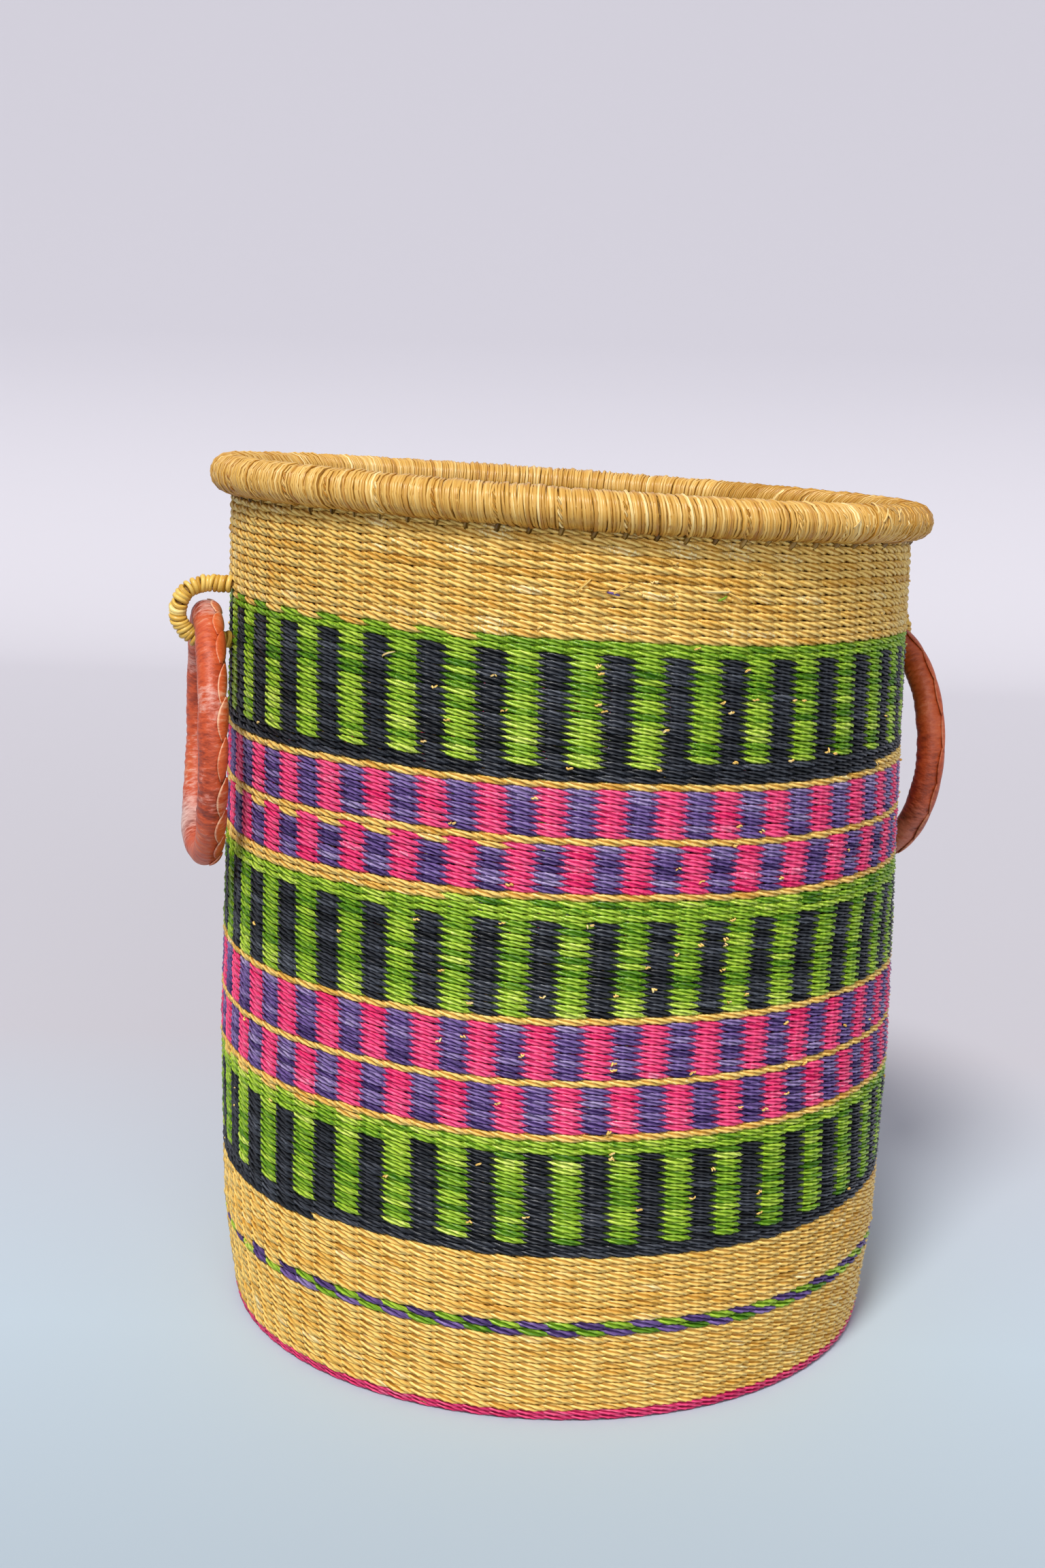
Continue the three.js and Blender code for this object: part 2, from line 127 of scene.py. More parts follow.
def fill_ramp(node, colours):
    """Spreads hex colours evenly over a colour ramp node, and gives the node back."""
    elements = node.color_ramp.elements
    while len(elements) < len(colours):
        elements.new(0.5)
    for place, colour in enumerate(colours):
        elements[place].position = place / (len(colours) - 1)
        elements[place].color = linear(colour)
    return node


def finish_piece(piece, body, material, replaced=()):
    """Gives a piece its material and says what it rides on and which solids it stands for."""
    piece.data.materials.clear()
    piece.data.materials.append(material)
    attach(piece, body)
    if replaced:
        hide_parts(*replaced)
    triangles = sum(len(face.vertices) - 2 for face in piece.data.polygons)
    print(f"{piece.name}: {triangles} triangles")


def place_mesh(name, shape, mesh):
    """Gives a shape to a mesh, smooths its shading and puts it in the scene."""
    shape.to_mesh(mesh)
    shape.free()
    mesh.shade_smooth()
    piece = bpy.data.objects.new(name, mesh)
    scene.collection.objects.link(piece)
    return piece


# %% [markdown]
# ## How the basket is woven
# Two strands travel round together. At each stake one passes outside and the other inside, and
# between stakes they change places with a half twist. So a strand shows on every second stake,
# as a leaf that slants down to the right, and two colours make upright stripes. The strands
# climb to the left in one long helix from the heel to the rim, and a colour starts wherever the
# weaver put in new straw. A place on the helix is counted in stakes.
#
# The plan gives each band's rows, the height of a row in millimetres, and where the straw of
# either hand changes: the row, counted from the heel at the middle of the front, and the
# direction in degrees, where 0 faces the camera and 90 is on its right. The two hands don't
# change together, which leaves the short half-coloured rows of hand work.

# %% Measures of the weave
STAKES = 82
STEP = 2 * math.pi / STAKES
WALL_PLAN = (
    ("natural_band_lower_b", 11, 4.4, ((-2, 0, "natural"),), ((-2, 0, "natural"),)),
    ("green_purple_line", 2, 4.4,
     ((11, 150, "purple"), (11, -41, "green")), ((11, 150, "green"), (11, -41, "purple"))),
    ("natural_band_lower_a", 9, 4.4, ((12, -41, "natural"),), ((12, -60, "natural"),)),
    ("green_black_band_lower", 18, 3.87,
     ((21, -31, "black"), (24, 140, "green")), ((21, -44, "black"), (37, -20, "green"))),
    ("natural_line_6", 1, 4.1, ((39, -29.5, "natural"),), ((40, 150, "natural"),)),
    ("pink_purple_band_4", 7, 3.87, ((41, 120, "pink"),), ((41, 130, "purple"),)),
    ("natural_line_5", 1, 4.1, ((48, 150, "natural"),), ((48, 140, "natural"),)),
    ("pink_purple_band_3", 8, 3.87, ((49, 130, "purple"),), ((49, 120, "pink"),)),
    ("natural_line_4", 1, 4.1, ((57, 150, "natural"),), ((57, 140, "natural"),)),
    ("green_black_band_middle", 17, 3.87,
     ((58, 130, "green"),), ((58, 120, "black"), (72, 140, "green"))),
    ("natural_line_3", 1, 4.1, ((74, -13, "natural"),), ((74, -13, "natural"),)),
    ("pink_purple_band_2", 7, 3.87, ((76, 150, "pink"),), ((76, 140, "purple"),)),
    ("natural_line_2", 1, 4.1, ((83, 150, "natural"),), ((82, -8, "natural"),)),
    ("pink_purple_band_1", 7, 3.87, ((84, 140, "purple"),), ((84, 130, "pink"),)),
    ("natural_line_1", 1, 4.1, ((91, 110, "natural"),), ((91, 100, "natural"),)),
    ("green_black_band_upper", 20, 3.87,
     ((92, 61, "black"), (94, 16, "green")), ((92, 61, "black"), (110, 150, "green"))),
    ("natural_band_top", 13, 4.6, ((111, -7, "natural"),), ((112, 150, "natural"),)),
)
LAST_ROW = 125.4
EDGE_BOTTOM = 0.3 * MM
EDGE_ROW = 5.8 * MM
_, band_rows, row_heights, *_ = zip(*WALL_PLAN)
row_heights = np.array(row_heights) * MM
band_turns = np.cumsum([0, *band_rows])
band_heights = EDGE_BOTTOM + EDGE_ROW + np.cumsum([0, *(np.array(band_rows) * row_heights)])
WALL_TOP = band_heights[-1]
LEVEL_HEIGHT = band_heights[9]
LEAN_RISE = 8.3 * MM
HIGH_SIDE = math.radians(155)
KNEE_HEIGHTS = (0, band_heights[2], band_heights[5], WALL_TOP - 12 * MM, WALL_TOP)
KNEE_RADII = (207 * MM, 214.6 * MM, 217.2 * MM, 212.6 * MM, 211.6 * MM)
WALL_THICKNESS = 8.5 * MM
FIRST_STAKE = math.radians(71.439)
FRONT = math.radians(-106.9)
print("wall top at", round(WALL_TOP / MM, 2), "mm,", band_turns[-1], "rows")


def wall_radius(height):
    """The radius of the wall's outer face."""
    return np.interp(height, KNEE_HEIGHTS, KNEE_RADII)


def rise_at(x, y, height):
    """How far the handmade lean lifts a point of the upper wall."""
    share = np.maximum(height - LEVEL_HEIGHT, 0) / (WALL_TOP - LEVEL_HEIGHT)
    towards = x * math.cos(HIGH_SIDE) + y * math.sin(HIGH_SIDE)
    return LEAN_RISE * share * towards / KNEE_RADII[-1]


def lifted_points(radius, angle, height):
    """Points of a curve round the basket's axis, with the lean put in."""
    x = radius * np.cos(angle)
    y = radius * np.sin(angle)
    return np.stack([x, y, height + rise_at(x, y, height), np.ones_like(x)], axis=1)


# %% [markdown]
# The stakes of a hand-made basket lean and crowd a little, and the stripes follow them. The
# table gives how far they stand from even places, in degrees, as measured from the stripes at
# some heights in millimetres and some directions from the front.

# %% Places of the stakes
DRIFT_HEIGHTS = (0, 120, 205, 275, 341, 410)
DRIFT_DIRECTIONS = (-130, -75, -60, -36, -12, 12, 36, 60, 75, 130)
STAKE_DRIFT = (
    (0, 0, 0, 0, 0, 0, 0, 0, 0, 0),
    (0, 3.0, 2.4, 0.5, -0.7, -0.1, 0.6, -1.1, -1.8, 0),
    (0, 2.8, 2.1, -0.1, 0.0, 0.7, 1.6, 2.1, 2.3, 0),
    (0, 3.5, 2.8, 0.6, -0.1, 0.2, 1.1, 0.4, 0.0, 0),
    (0, 3.8, 3.0, 0.6, -0.7, -0.2, -0.8, -3.5, -4.2, 0),
    (0, 3.8, 3.0, 1.5, 0.3, -0.9, -1.3, -3.2, -4.0, 0),
)


def stake_drift(direction, height):
    """The table's degrees for a direction, in degrees, and a height."""
    level = np.interp(height / MM, DRIFT_HEIGHTS, range(len(DRIFT_HEIGHTS)))
    return sum(
        np.interp(direction, DRIFT_DIRECTIONS, row) * np.clip(1 - abs(level - number), 0, 1)
        for number, row in enumerate(STAKE_DRIFT)
    )


def stake_angle(angle, height):
    """Where a stake stands that would be at an angle if the stakes were evenly spaced."""
    direction = (np.degrees(angle - FRONT) + 180) % 360 - 180
    nearly = direction - stake_drift(direction, height)
    return angle - np.radians(stake_drift(nearly, height))


# %% [markdown]
# ## A strand of straw
# A strand is a curve with a section, which is how Blender lays a cord along a path. Its section
# is two straws side by side, so that a groove runs between them, and the curve's tilt turns it
# with the twist of the weave: flat against the wall over a stake, on edge between two stakes.

# %% Section and path of a strand
PLY_HALF_WIDTH = 2.0
PLY_HALF_DEPTH = 1.3
GROOVE_DEPTH = 0.4
CROWN = 0.52 * PLY_HALF_WIDTH
SECTION = (
    (PLY_HALF_WIDTH, 0), (CROWN, PLY_HALF_DEPTH), (0, GROOVE_DEPTH), (-CROWN, PLY_HALF_DEPTH),
    (-PLY_HALF_WIDTH, 0), (-CROWN, -PLY_HALF_DEPTH), (0, -GROOVE_DEPTH), (CROWN, -PLY_HALF_DEPTH),
)
SECTION_ROW = 3.87 * MM
chance = np.random.default_rng(82)


def section_curve(name, points):
    """A closed flat curve, in millimetres, that other curves use as their section."""
    data = bpy.data.curves.new(name, "CURVE")
    data.dimensions = "2D"
    spline = data.splines.new("POLY")
    spline.points.add(len(points) - 1)
    for point, (x, y) in zip(spline.points, points):
        point.co = (x * MM, y * MM, 0, 1)
    spline.use_cyclic_u = True
    return bpy.data.objects.new(name, data)


# One strand over two stakes. The stops are counted in stakes from the middle of a leaf, and the
# rows say how far out and how far up the strand lies at each, how thick it is, how far it has
# twisted and how freely it may stray. It stays outside for more than half the way, so that the
# leaves' tips interlock.
LEAF_STOPS = np.array((-0.7, -0.44, -0.14, 0.14, 0.44, 0.7, 0.9, 1.1))
LEAF_SHARES = np.array((
    (0.35, 0.84, 1, 1, 0.84, 0.35, -0.95, -0.95),
    (-0.28, -0.19, -0.07, 0.07, 0.19, 0.28, 0.1, -0.1),
    (0.64, 0.96, 1.14, 1.14, 0.96, 0.64, 1.05, 1.05),
    np.radians((-98, -62, -20, 20, 62, 98, 154, 206)),
    (0.1, 0.7, 1, 1, 0.7, 0.1, 0, 0),
))
END_REACH = 0.13


def weave_path(start, end, hand):
    """A strand's points as places along the helix, and what each row of the table says there."""
    leaves = np.arange(math.floor((start - hand) / 2) - 1, math.ceil((end - hand) / 2) + 1)
    places = (hand + 2 * leaves[:, None] + LEAF_STOPS).ravel()
    inside = (places >= start - END_REACH) & (places <= end + END_REACH)
    return places[inside], *np.tile(LEAF_SHARES, len(leaves))[:, inside]


def straw_tones(count):
    """One tone for each stake: a straw keeps its tone for some stakes, then the next begins."""
    shades = np.zeros(count)
    place = 0
    while place < count:
        length = int(chance.integers(*STRAW_LENGTHS))
        shades[place : place + length] = chance.random()
        place += length
    return shades


# The helix begins one row below the wall, tucked in, and the tables of tones cover all of it.
HELIX_START = -STAKES
HELIX_COUNT = 10700
TUCK = 2.4 * MM
TUCK_ROWS = 1 / 6
STRAW_LENGTHS = (20, 84)
tones = [straw_tones(HELIX_COUNT) for _ in (0, 1)]
leaf_chance = chance.normal(size=(2, HELIX_COUNT, 4))
leaf_tones = chance.random((2, HELIX_COUNT))


def band_at(place):
    """Which band a place on the helix is in. The first and last go on beyond the wall's ends."""
    band = np.searchsorted(band_turns, place / STAKES, side="right") - 1
    return np.clip(band, 0, len(row_heights) - 1)


def helix_height(place):
    """The height of the middle of a row at a place on the helix."""
    band = band_at(place)
    return band_heights[band] + (place / STAKES - band_turns[band]) * row_heights[band]


def straw_index(place, hand):
    """Which entry of the tables of tones each place reads: one for each leaf."""
    return np.floor((place - hand + 1) / 2).astype(int) * 2 + hand - HELIX_START


# Handwork is never quite even. Slow waves move the rows up and down and the wall in and out, and
# each leaf strays a little from its place, its turn and its thickness.
ROW_WAVE = 0.55 * MM
SHORT_ROW_WAVE = 0.35 * MM
WALL_WAVE = 0.5 * MM
STRAY_OUT = 0.2 * MM
STRAY_UP = 0.12 * MM
STRAY_TWIST = 0.16
STRAY_THICK = 0.06
HALF_SWING = WALL_THICKNESS / 2 - PLY_HALF_DEPTH * MM


def wall_strand(start, end, hand):
    """Points, tilts, thicknesses, tones and distances of one strand of the wall's weft."""
    place, out, up, thick, twist, stray = weave_path(start, end, hand)
    index = straw_index(place, hand)
    luck = leaf_chance[hand][index] * stray[:, None]
    row = row_heights[band_at(place)]
    middle = helix_height(place)
    angle = stake_angle(FIRST_STAKE - place * STEP, middle)
    level = middle / WALL_TOP
    radius = wall_radius(middle) - WALL_THICKNESS / 2
    radius += WALL_WAVE * np.sin(2 * angle + 7 * level) + HALF_SWING * out
    radius += STRAY_OUT * luck[:, 0]
    radius -= TUCK * np.clip(-place / (TUCK_ROWS * STAKES), 0, 1)
    height = middle + row * up + STRAY_UP * luck[:, 1]
    height += ROW_WAVE * np.sin(3 * angle + 11 * level)
    height += SHORT_ROW_WAVE * np.sin(8 * angle + 2)
    points = lifted_points(radius, angle, height)
    tilt = math.pi / 2 + twist + STRAY_TWIST * luck[:, 2]
    thick = row / SECTION_ROW * thick * (1 + STRAY_THICK * luck[:, 3])
    return points, tilt, thick, tones[hand][index], leaf_tones[hand][index], place * STEP * radius


def plain_strand(points, thick, tone, leaf, distance, tilt=0):
    """A strand without the weave's twist. A single value holds for all of its points."""
    return points, *(np.broadcast_to(v, len(points)) for v in (tilt, thick, tone, leaf, distance))


# %% [markdown]
# Each strand keeps, for the shader, which straw and leaf a point belongs to, how much painted
# shade each point of its section gets in the groove and along its edges, and how far along the
# straw it is. These are attributes of the mesh.

# %% Build strands as a mesh
# For each point of a section, how much painted shade it gets, for the shade in the groove between
# two straws and along the edges where strands meet. In a section with a real groove, marked 1, the
# groove's edges are also made sharp.
NO_GROOVES = (0, 0, 0, 0, 0, 0)
STRAW_EDGES = (0.95, 0.1, 0, 0.1, 0.95, 0.1, 0, 0.1)
SHARP_GROOVE = 0.9
PLY = (section_curve("ply_section", SECTION), (0.8, 0, 1, 0, 0.8, 0, 1, 0), "Z_UP")


def oval_look(name, half_width, half_depth, grooves):
    """An oval section with as many sides as it has grooves, and no twist of its own."""
    turns = [2 * math.pi * side / len(grooves) for side in range(len(grooves))]
    points = [(half_width * math.cos(turn), half_depth * math.sin(turn)) for turn in turns]
    return section_curve(name, points), grooves, "MINIMUM"


def strands_mesh(name, strands, section, grooves, twist):
    """One mesh of many strands, each (points, tilt, thickness, tone, leaf, distance)."""
    data = bpy.data.curves.new(name, "CURVE")
    data.dimensions = "3D"
    data.bevel_mode = "OBJECT"
    data.bevel_object = section
    data.twist_mode = twist
    data.use_fill_caps = True
    for points, tilt, thick, *_ in strands:
        spline = data.splines.new("POLY")
        spline.points.add(len(points) - 1)
        for field, values in (("co", points), ("tilt", tilt), ("radius", thick)):
            spline.points.foreach_set(field, values.astype(np.float32).ravel())
    curve = bpy.data.objects.new(name, data)
    scene.collection.objects.link(curve)
    bpy.context.view_layer.update()
    graph = bpy.context.evaluated_depsgraph_get()
    mesh = bpy.data.meshes.new_from_object(curve.evaluated_get(graph), depsgraph=graph)
    bpy.data.objects.remove(curve)
    mesh.name = name
    sides = len(grooves)
    rings = rings_in_mesh([len(points) for points, *_ in strands])
    tone, leaf, along = (
        np.repeat(np.concatenate([strand[field] for strand in strands])[rings], sides)
        for field in (3, 4, 5)
    )
    turns = np.tile(2 * math.pi * np.arange(sides) / sides, len(rings))
    fibre = np.stack([np.cos(turns), np.sin(turns), along], 1)
    put_attribute(mesh, "tone", "FLOAT", tone)
    put_attribute(mesh, "leaf", "FLOAT", leaf)
    put_attribute(mesh, "groove_shade", "FLOAT", np.tile(grooves, len(rings)))
    put_attribute(mesh, "fibre", "FLOAT_VECTOR", fibre)
    piece = close_and_place(name, mesh)
    if max(grooves) == 1:
        crease_grooves(piece.data)
    return piece


def rings_in_mesh(counts):
    """Which point each ring of vertices belongs to: first the caps, last strand first."""
    ends = np.cumsum(counts)
    caps = np.stack([ends - 1, ends - counts], axis=1)[::-1].ravel()
    return np.concatenate([caps, np.arange(ends[-1])])


def crease_grooves(mesh):
    """Marks the edges along the grooves as sharp, so that each straw beside one looks round."""
    groove_shade = np.zeros(len(mesh.vertices), np.float32)
    mesh.attributes["groove_shade"].data.foreach_get("value", groove_shade)
    ends = np.zeros(2 * len(mesh.edges), np.int32)
    mesh.edges.foreach_get("vertices", ends)
    sharp = groove_shade[ends.reshape(-1, 2)].min(axis=1) > SHARP_GROOVE
    crease = mesh.attributes.new("sharp_edge", "BOOLEAN", "EDGE")
    crease.data.foreach_set("value", sharp)


def close_and_place(name, mesh):
    """Welds the caps on, smooths the shading and puts the mesh in the scene."""
    shape = bmesh.new()
    shape.from_mesh(mesh)
    bmesh.ops.remove_doubles(shape, verts=shape.verts, dist=0.00002 * MM)
    bmesh.ops.recalc_face_normals(shape, faces=shape.faces)
    return place_mesh(name, shape, mesh)


def put_attribute(mesh, name, kind, values):
    """Stores one number or vector for each vertex."""
    attribute = mesh.attributes.new(name, kind, "POINT")
    field = "vector" if kind == "FLOAT_VECTOR" else "value"
    attribute.data.foreach_set(field, np.asarray(values, np.float32).ravel())


def straw_piece(name, strands, straw, look=PLY, replaced=()):
    """A finished piece of the basket made of strands. Its look is a section with its twist."""
    piece = strands_mesh(name, strands, *look)
    finish_piece(piece, "basket", straws[straw], replaced)
    return piece


# %% [markdown]
# ## Dyed elephant grass
# Elephant grass straw is split, twisted and dyed. It has a silky, ribbed surface with fine
# lengthwise fibres, and the dye takes unevenly: each straw has its own tone. The groove between
# two straws and the edges of a strand are painted with a darker shade colour, as painted shade
# where the straws shade each other.

# %% Straw materials
# The painted shade colour for grooves and edges, and then each straw's tones from dark to light.
STRAW_COLOURS = {
    "natural": ("#9C6420", "#CC983C", "#EABA58", "#FAD67C", "#F2C868", "#FFF2BA"),
    "green": ("#1E4A08", "#2E5C0C", "#60901A", "#98BE30", "#BAD644", "#E8F27C"),
    "black": ("#060608", "#0E0F11", "#1D1F23", "#2E3036", "#42454D", "#62666F"),
    "pink": ("#96104A", "#D61E5C", "#F63C74", "#FF5C8C", "#FF5486", "#FFA2BC"),
    "purple": ("#1E1438", "#342054", "#564076", "#785C9C", "#907AAE", "#B8A6CC"),
    "deep_pink": ("#6A0A2C", "#B81C50", "#D83066", "#F04A7E", "#E23C70", "#F67CA0"),
    "rim": ("#7A4810", "#A06422", "#BE8935", "#D1A14A", "#E2B766", "#FCE6A8"),
    "loop": ("#8A5C18", "#A87A28", "#C8983A", "#DCB250", "#E6C264", "#F4DE98"),
    "stake": ("#34220A", "#5A3E14", "#74521C", "#8E6A2C", "#A07A38", "#B48E4A"),
}

# How much of the tone comes from the straw, the leaf and the fibres, and what is taken off so
# that the sum fills the ramp. A fibre's streak is about 60 mm long and half a straw's radius wide.
STRAW_SHARE = 0.48
LEAF_SHARE = 0.32
FIBRE_SHARE = 1.1
TONE_SHIFT = 0.45
FIBRE_LENGTH = 62.5 * MM
FIBRES_ACROSS = 1.6
FIBRE_BUMP = 0.5 * MM


def straw_material(name, shadow, *colours):
    """Silky straw: a tone for each straw and leaf, lengthwise fibres, and painted crease shade."""
    material, tree, surface = new_material(name)
    tone, leaf, groove_shade, fibre = (
        add_node(tree, "ShaderNodeAttribute", {"attribute_name": read}).outputs[output]
        for read, output in (("tone", 2), ("leaf", 2), ("groove_shade", 2), ("fibre", 1))
    )
    stretch = (FIBRES_ACROSS, FIBRES_ACROSS, 1 / FIBRE_LENGTH)
    fibre = add_node(tree, "ShaderNodeVectorMath", {"operation": "MULTIPLY"}, i0=fibre, i1=stretch)
    streak = add_node(tree, "ShaderNodeTexNoise", Vector=fibre, Scale=1, Detail=5)
    mixed = -TONE_SHIFT
    for amount, share in ((leaf, LEAF_SHARE), (tone, STRAW_SHARE), (streak, FIBRE_SHARE)):
        mixed = add_node(
            tree, "ShaderNodeMath", {"operation": "MULTIPLY_ADD"}, i0=amount, i1=share, i2=mixed
        )
    colour = fill_ramp(add_node(tree, "ShaderNodeValToRGB", i0=mixed), colours)
    # Painted shade: in the grooves and along the edges, where straws shade each other, the colour
    # is mixed towards the shade colour and the specular is turned down.
    painted_shade = add_node(
        tree, "ShaderNodeMapRange", Value=groove_shade, From_Min=0.3, From_Max=0.8, To_Max=0.75
    )
    tinted = add_node(
        tree, "ShaderNodeMix", {"data_type": "RGBA"}, i0=painted_shade, i6=colour, i7=linear(shadow)
    )
    shine = add_node(
        tree, "ShaderNodeMapRange", Value=groove_shade, From_Min=0.1, From_Max=0.7, To_Min=0.5, To_Max=0
    )
    bump = add_node(tree, "ShaderNodeBump", Strength=0.5, Distance=FIBRE_BUMP, Height=streak)
    set_inputs(surface, Base_Color=tinted.outputs[2], Specular_IOR_Level=shine)
    set_inputs(surface, Roughness=0.34, Normal=bump)
    return material


straws = {
    name: straw_material(f"{name}_elephant_grass", *colours)
    for name, colours in STRAW_COLOURS.items()
}
straws["stake"].name = "bare_grass_stake"

# %% [markdown]
# ## The wall
# Each hand's straw of one colour is a run, and the runs of one colour in one band are a piece.

# %% Weave the wall
def change_place(row, direction, hand):
    """The nearest place, inside a stake, where a straw of this hand can end out of sight."""
    height = helix_height((row + (180 - direction) / 360) * STAKES)
    place = (row + (180 - direction - stake_drift(direction, height)) / 360) * STAKES
    return hand + 1 + 2 * round((place - hand - 1) / 2)


def plan_runs():
    """Every run of one colour in the wall, gathered by solid and colour."""
    runs = {}
    for hand in (0, 1):
        changes = [(node, *change) for node, _, _, *plan in WALL_PLAN for change in plan[hand]]
        starts = [change_place(row, direction, hand) for _, row, direction, _ in changes]
        ends = starts[1:] + [change_place(LAST_ROW, 180, hand)]
        for start, end, (node, _, _, colour) in zip(starts, ends, changes):
            runs.setdefault((node, colour), []).append((max(start, HELIX_START + hand), end, hand))
    return runs


for (node, colour), stretches in plan_runs().items():
    strands = [wall_strand(*stretch) for stretch in stretches]
    piece = straw_piece(f"{colour}_straw_{node}", strands, colour, replaced=[node])
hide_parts("inner_weft")

# %% [markdown]
# ## The heel and the base
# The underside is twined too, as a flat spiral round stakes that spread like spokes, and fresh
# spokes are put in where they would stand too far apart. A thick pink rope goes round the heel,
# where the spokes bend up to become the stakes.

# %% Twine the base and the heel
BASE_MIDDLE = 4.2 * MM
BASE_SWING = 2.7 * MM
BASE_PITCH = 4.4 * MM
SPOKE_ZONES = ((203, 104, 82), (104, 52, 41), (52, 26, 20), (26, 6, 10))
BASE_SECTION = ((2.02, 0), (0.9, 1.12), (-0.9, 1.12), (-2.02, 0), (-0.9, -1.12), (0.9, -1.12))


def base_strand(outer, inner, spokes, hand):
    """One strand of a zone of the base, spiralling from its outer radius to its inner one."""
    turns = (outer - inner) * MM / BASE_PITCH
    place, out, up, thick, twist, _ = weave_path(0, turns * spokes, hand)
    angle = FIRST_STAKE + place * 2 * math.pi / spokes
    radius = outer * MM - place / spokes * BASE_PITCH + BASE_PITCH * up
    leaf = np.floor((place - hand + 1) / 2).astype(int) + 1
    luck = chance.random((leaf.max() + 1, 2))[leaf]
    thick *= BASE_PITCH / SECTION_ROW
    points = lifted_points(radius, angle, BASE_MIDDLE - BASE_SWING * out)
    return points, twist, thick, luck[:, 0], luck[:, 1], place * radius * 2 * math.pi / spokes


base_look = (section_curve("base_straw_section", BASE_SECTION), NO_GROOVES, "Z_UP")
for name, zones in (("base_outer_rows", SPOKE_ZONES[:1]), ("base_middle_rows", SPOKE_ZONES[1:])):
    spirals = [base_strand(*zone, hand) for zone in zones for hand in (0, 1)]
    straw_piece(name, spirals, "natural", base_look, ["base_weft", "floor_weft"])

HEEL_ROW = EDGE_ROW / 2
HEEL_LOW = 2.4 * MM
HEEL_INSET = 3 * MM
HEEL_STEP_OUT = 0.8 * MM
HEEL_SWING = 1.6 * MM
HEEL_THICK = 1.25
HEEL_NEXT_TONES = 200


def heel_strand(hand, row):
    """One strand of the pink edge, once round the heel in one of its two rows."""
    place, out, up, thick, twist, _ = weave_path(0, STAKES, hand)
    angle = FIRST_STAKE - (place + row) * STEP
    radius = KNEE_RADII[0] - HEEL_INSET + HEEL_STEP_OUT * row + HEEL_SWING * out
    points = lifted_points(radius, angle, HEEL_LOW + HEEL_ROW * (0.94 * row + 0.9 * up))
    index = straw_index(place, hand) + HEEL_NEXT_TONES * row
    thick *= HEEL_ROW / SECTION_ROW * HEEL_THICK
    tilt = math.pi / 2 + twist
    return points, tilt, thick, tones[hand][index], leaf_tones[hand][index], place * STEP * radius


heel_strands = [heel_strand(hand, row) for row in (0, 1) for hand in (0, 1)]
straw_piece("pink_heel_rope", heel_strands, "deep_pink", PLY, ["pink_base_edge"])

# %% [markdown]
# ## The rim
# The stakes' ends and a bundle of grass make a thick roll, and thin straws are wrapped round it
# as close as thread on a reel. They pass through the wall in groups, one for every two stakes,
# so they gather below and fan out over the top.

# %% Wrap the rim
RIM_RADIUS = 214 * MM
RIM_HEIGHT = WALL_TOP + 9 * MM
RIM_ROLL = 10.2 * MM
GROUP_STAKES = 2
RIM_GROUPS = STAKES // GROUP_STAKES
GROUP_ANGLE = GROUP_STAKES * STEP
STRAWS_PER_GROUP = 20
UNDER_STRAWS = 11
UNDER_DEPTH = 1.1 * MM
UNDER_BREADTH = 1.6
WRAP_FROM = math.radians(-116)
WRAP_TO = math.radians(212)
WRAP_STEPS = 12
RIM_STRAW_SIZE = (0.94, 0.95)

# The wrap's last straws pass over its first ones at a seam, and lean the other way beyond it.
# These are places counted in groups, and how far the straws lean there.
SEAM_PLACES = (0, 3, 8, 26, 27.2, 36.5, 38.5, 41)
SEAM_SLANTS = (-0.1, -0.3, 0.16, 0.16, -0.9, -0.8, -0.1, -0.1)
SEAM_SHIFT = 0.16

# How unevenly the straws lie: where they start, how far they stray along the rim and off it, how
# thick they are, how wide the gaps between groups are and how soon they close on the way up, how
# much a group bulges, and how much darker the straws are on the underside of the roll, where the
# wrap begins.
START_STRAY = 0.12
SIDE_STRAYS = (0.012, 0.022, 0.016)
OFF_STRAYS = (0.3 * MM, 0.18 * MM)
THICK_STRAY = 0.13
LEAST_GAP = 0.05
GAP_RANGE = 0.09
GAP_CLOSING = 1.9
GROUP_BULGE = 0.35 * MM
DARK_RISE = 0.34
DARKENING = 3
LEAST_TONE = 0.2
BRAID_FROM = math.radians(-70)
BRAID_TO = math.radians(35)
BRAID_STEPS = 22
BRAID_TWISTS = 2.5
BRAID_SWING = 0.7 * MM
BRAID_SLANT = 0.16
BRAID_SUNK = 0.25 * MM
BRAID_STRAY = 0.2 * MM
BRAID_THICK = 0.8


def on_rim(angle, radius, turn):
    """Points at an angle round the basket, and at a radius and turn round the rim's roll."""
    return lifted_points(
        RIM_RADIUS + radius * np.cos(turn), angle, RIM_HEIGHT + radius * np.sin(turn)
    )


def bright_tone():
    """A chance tone that leaves out the darkest."""
    return LEAST_TONE + (1 - LEAST_TONE) * chance.random()


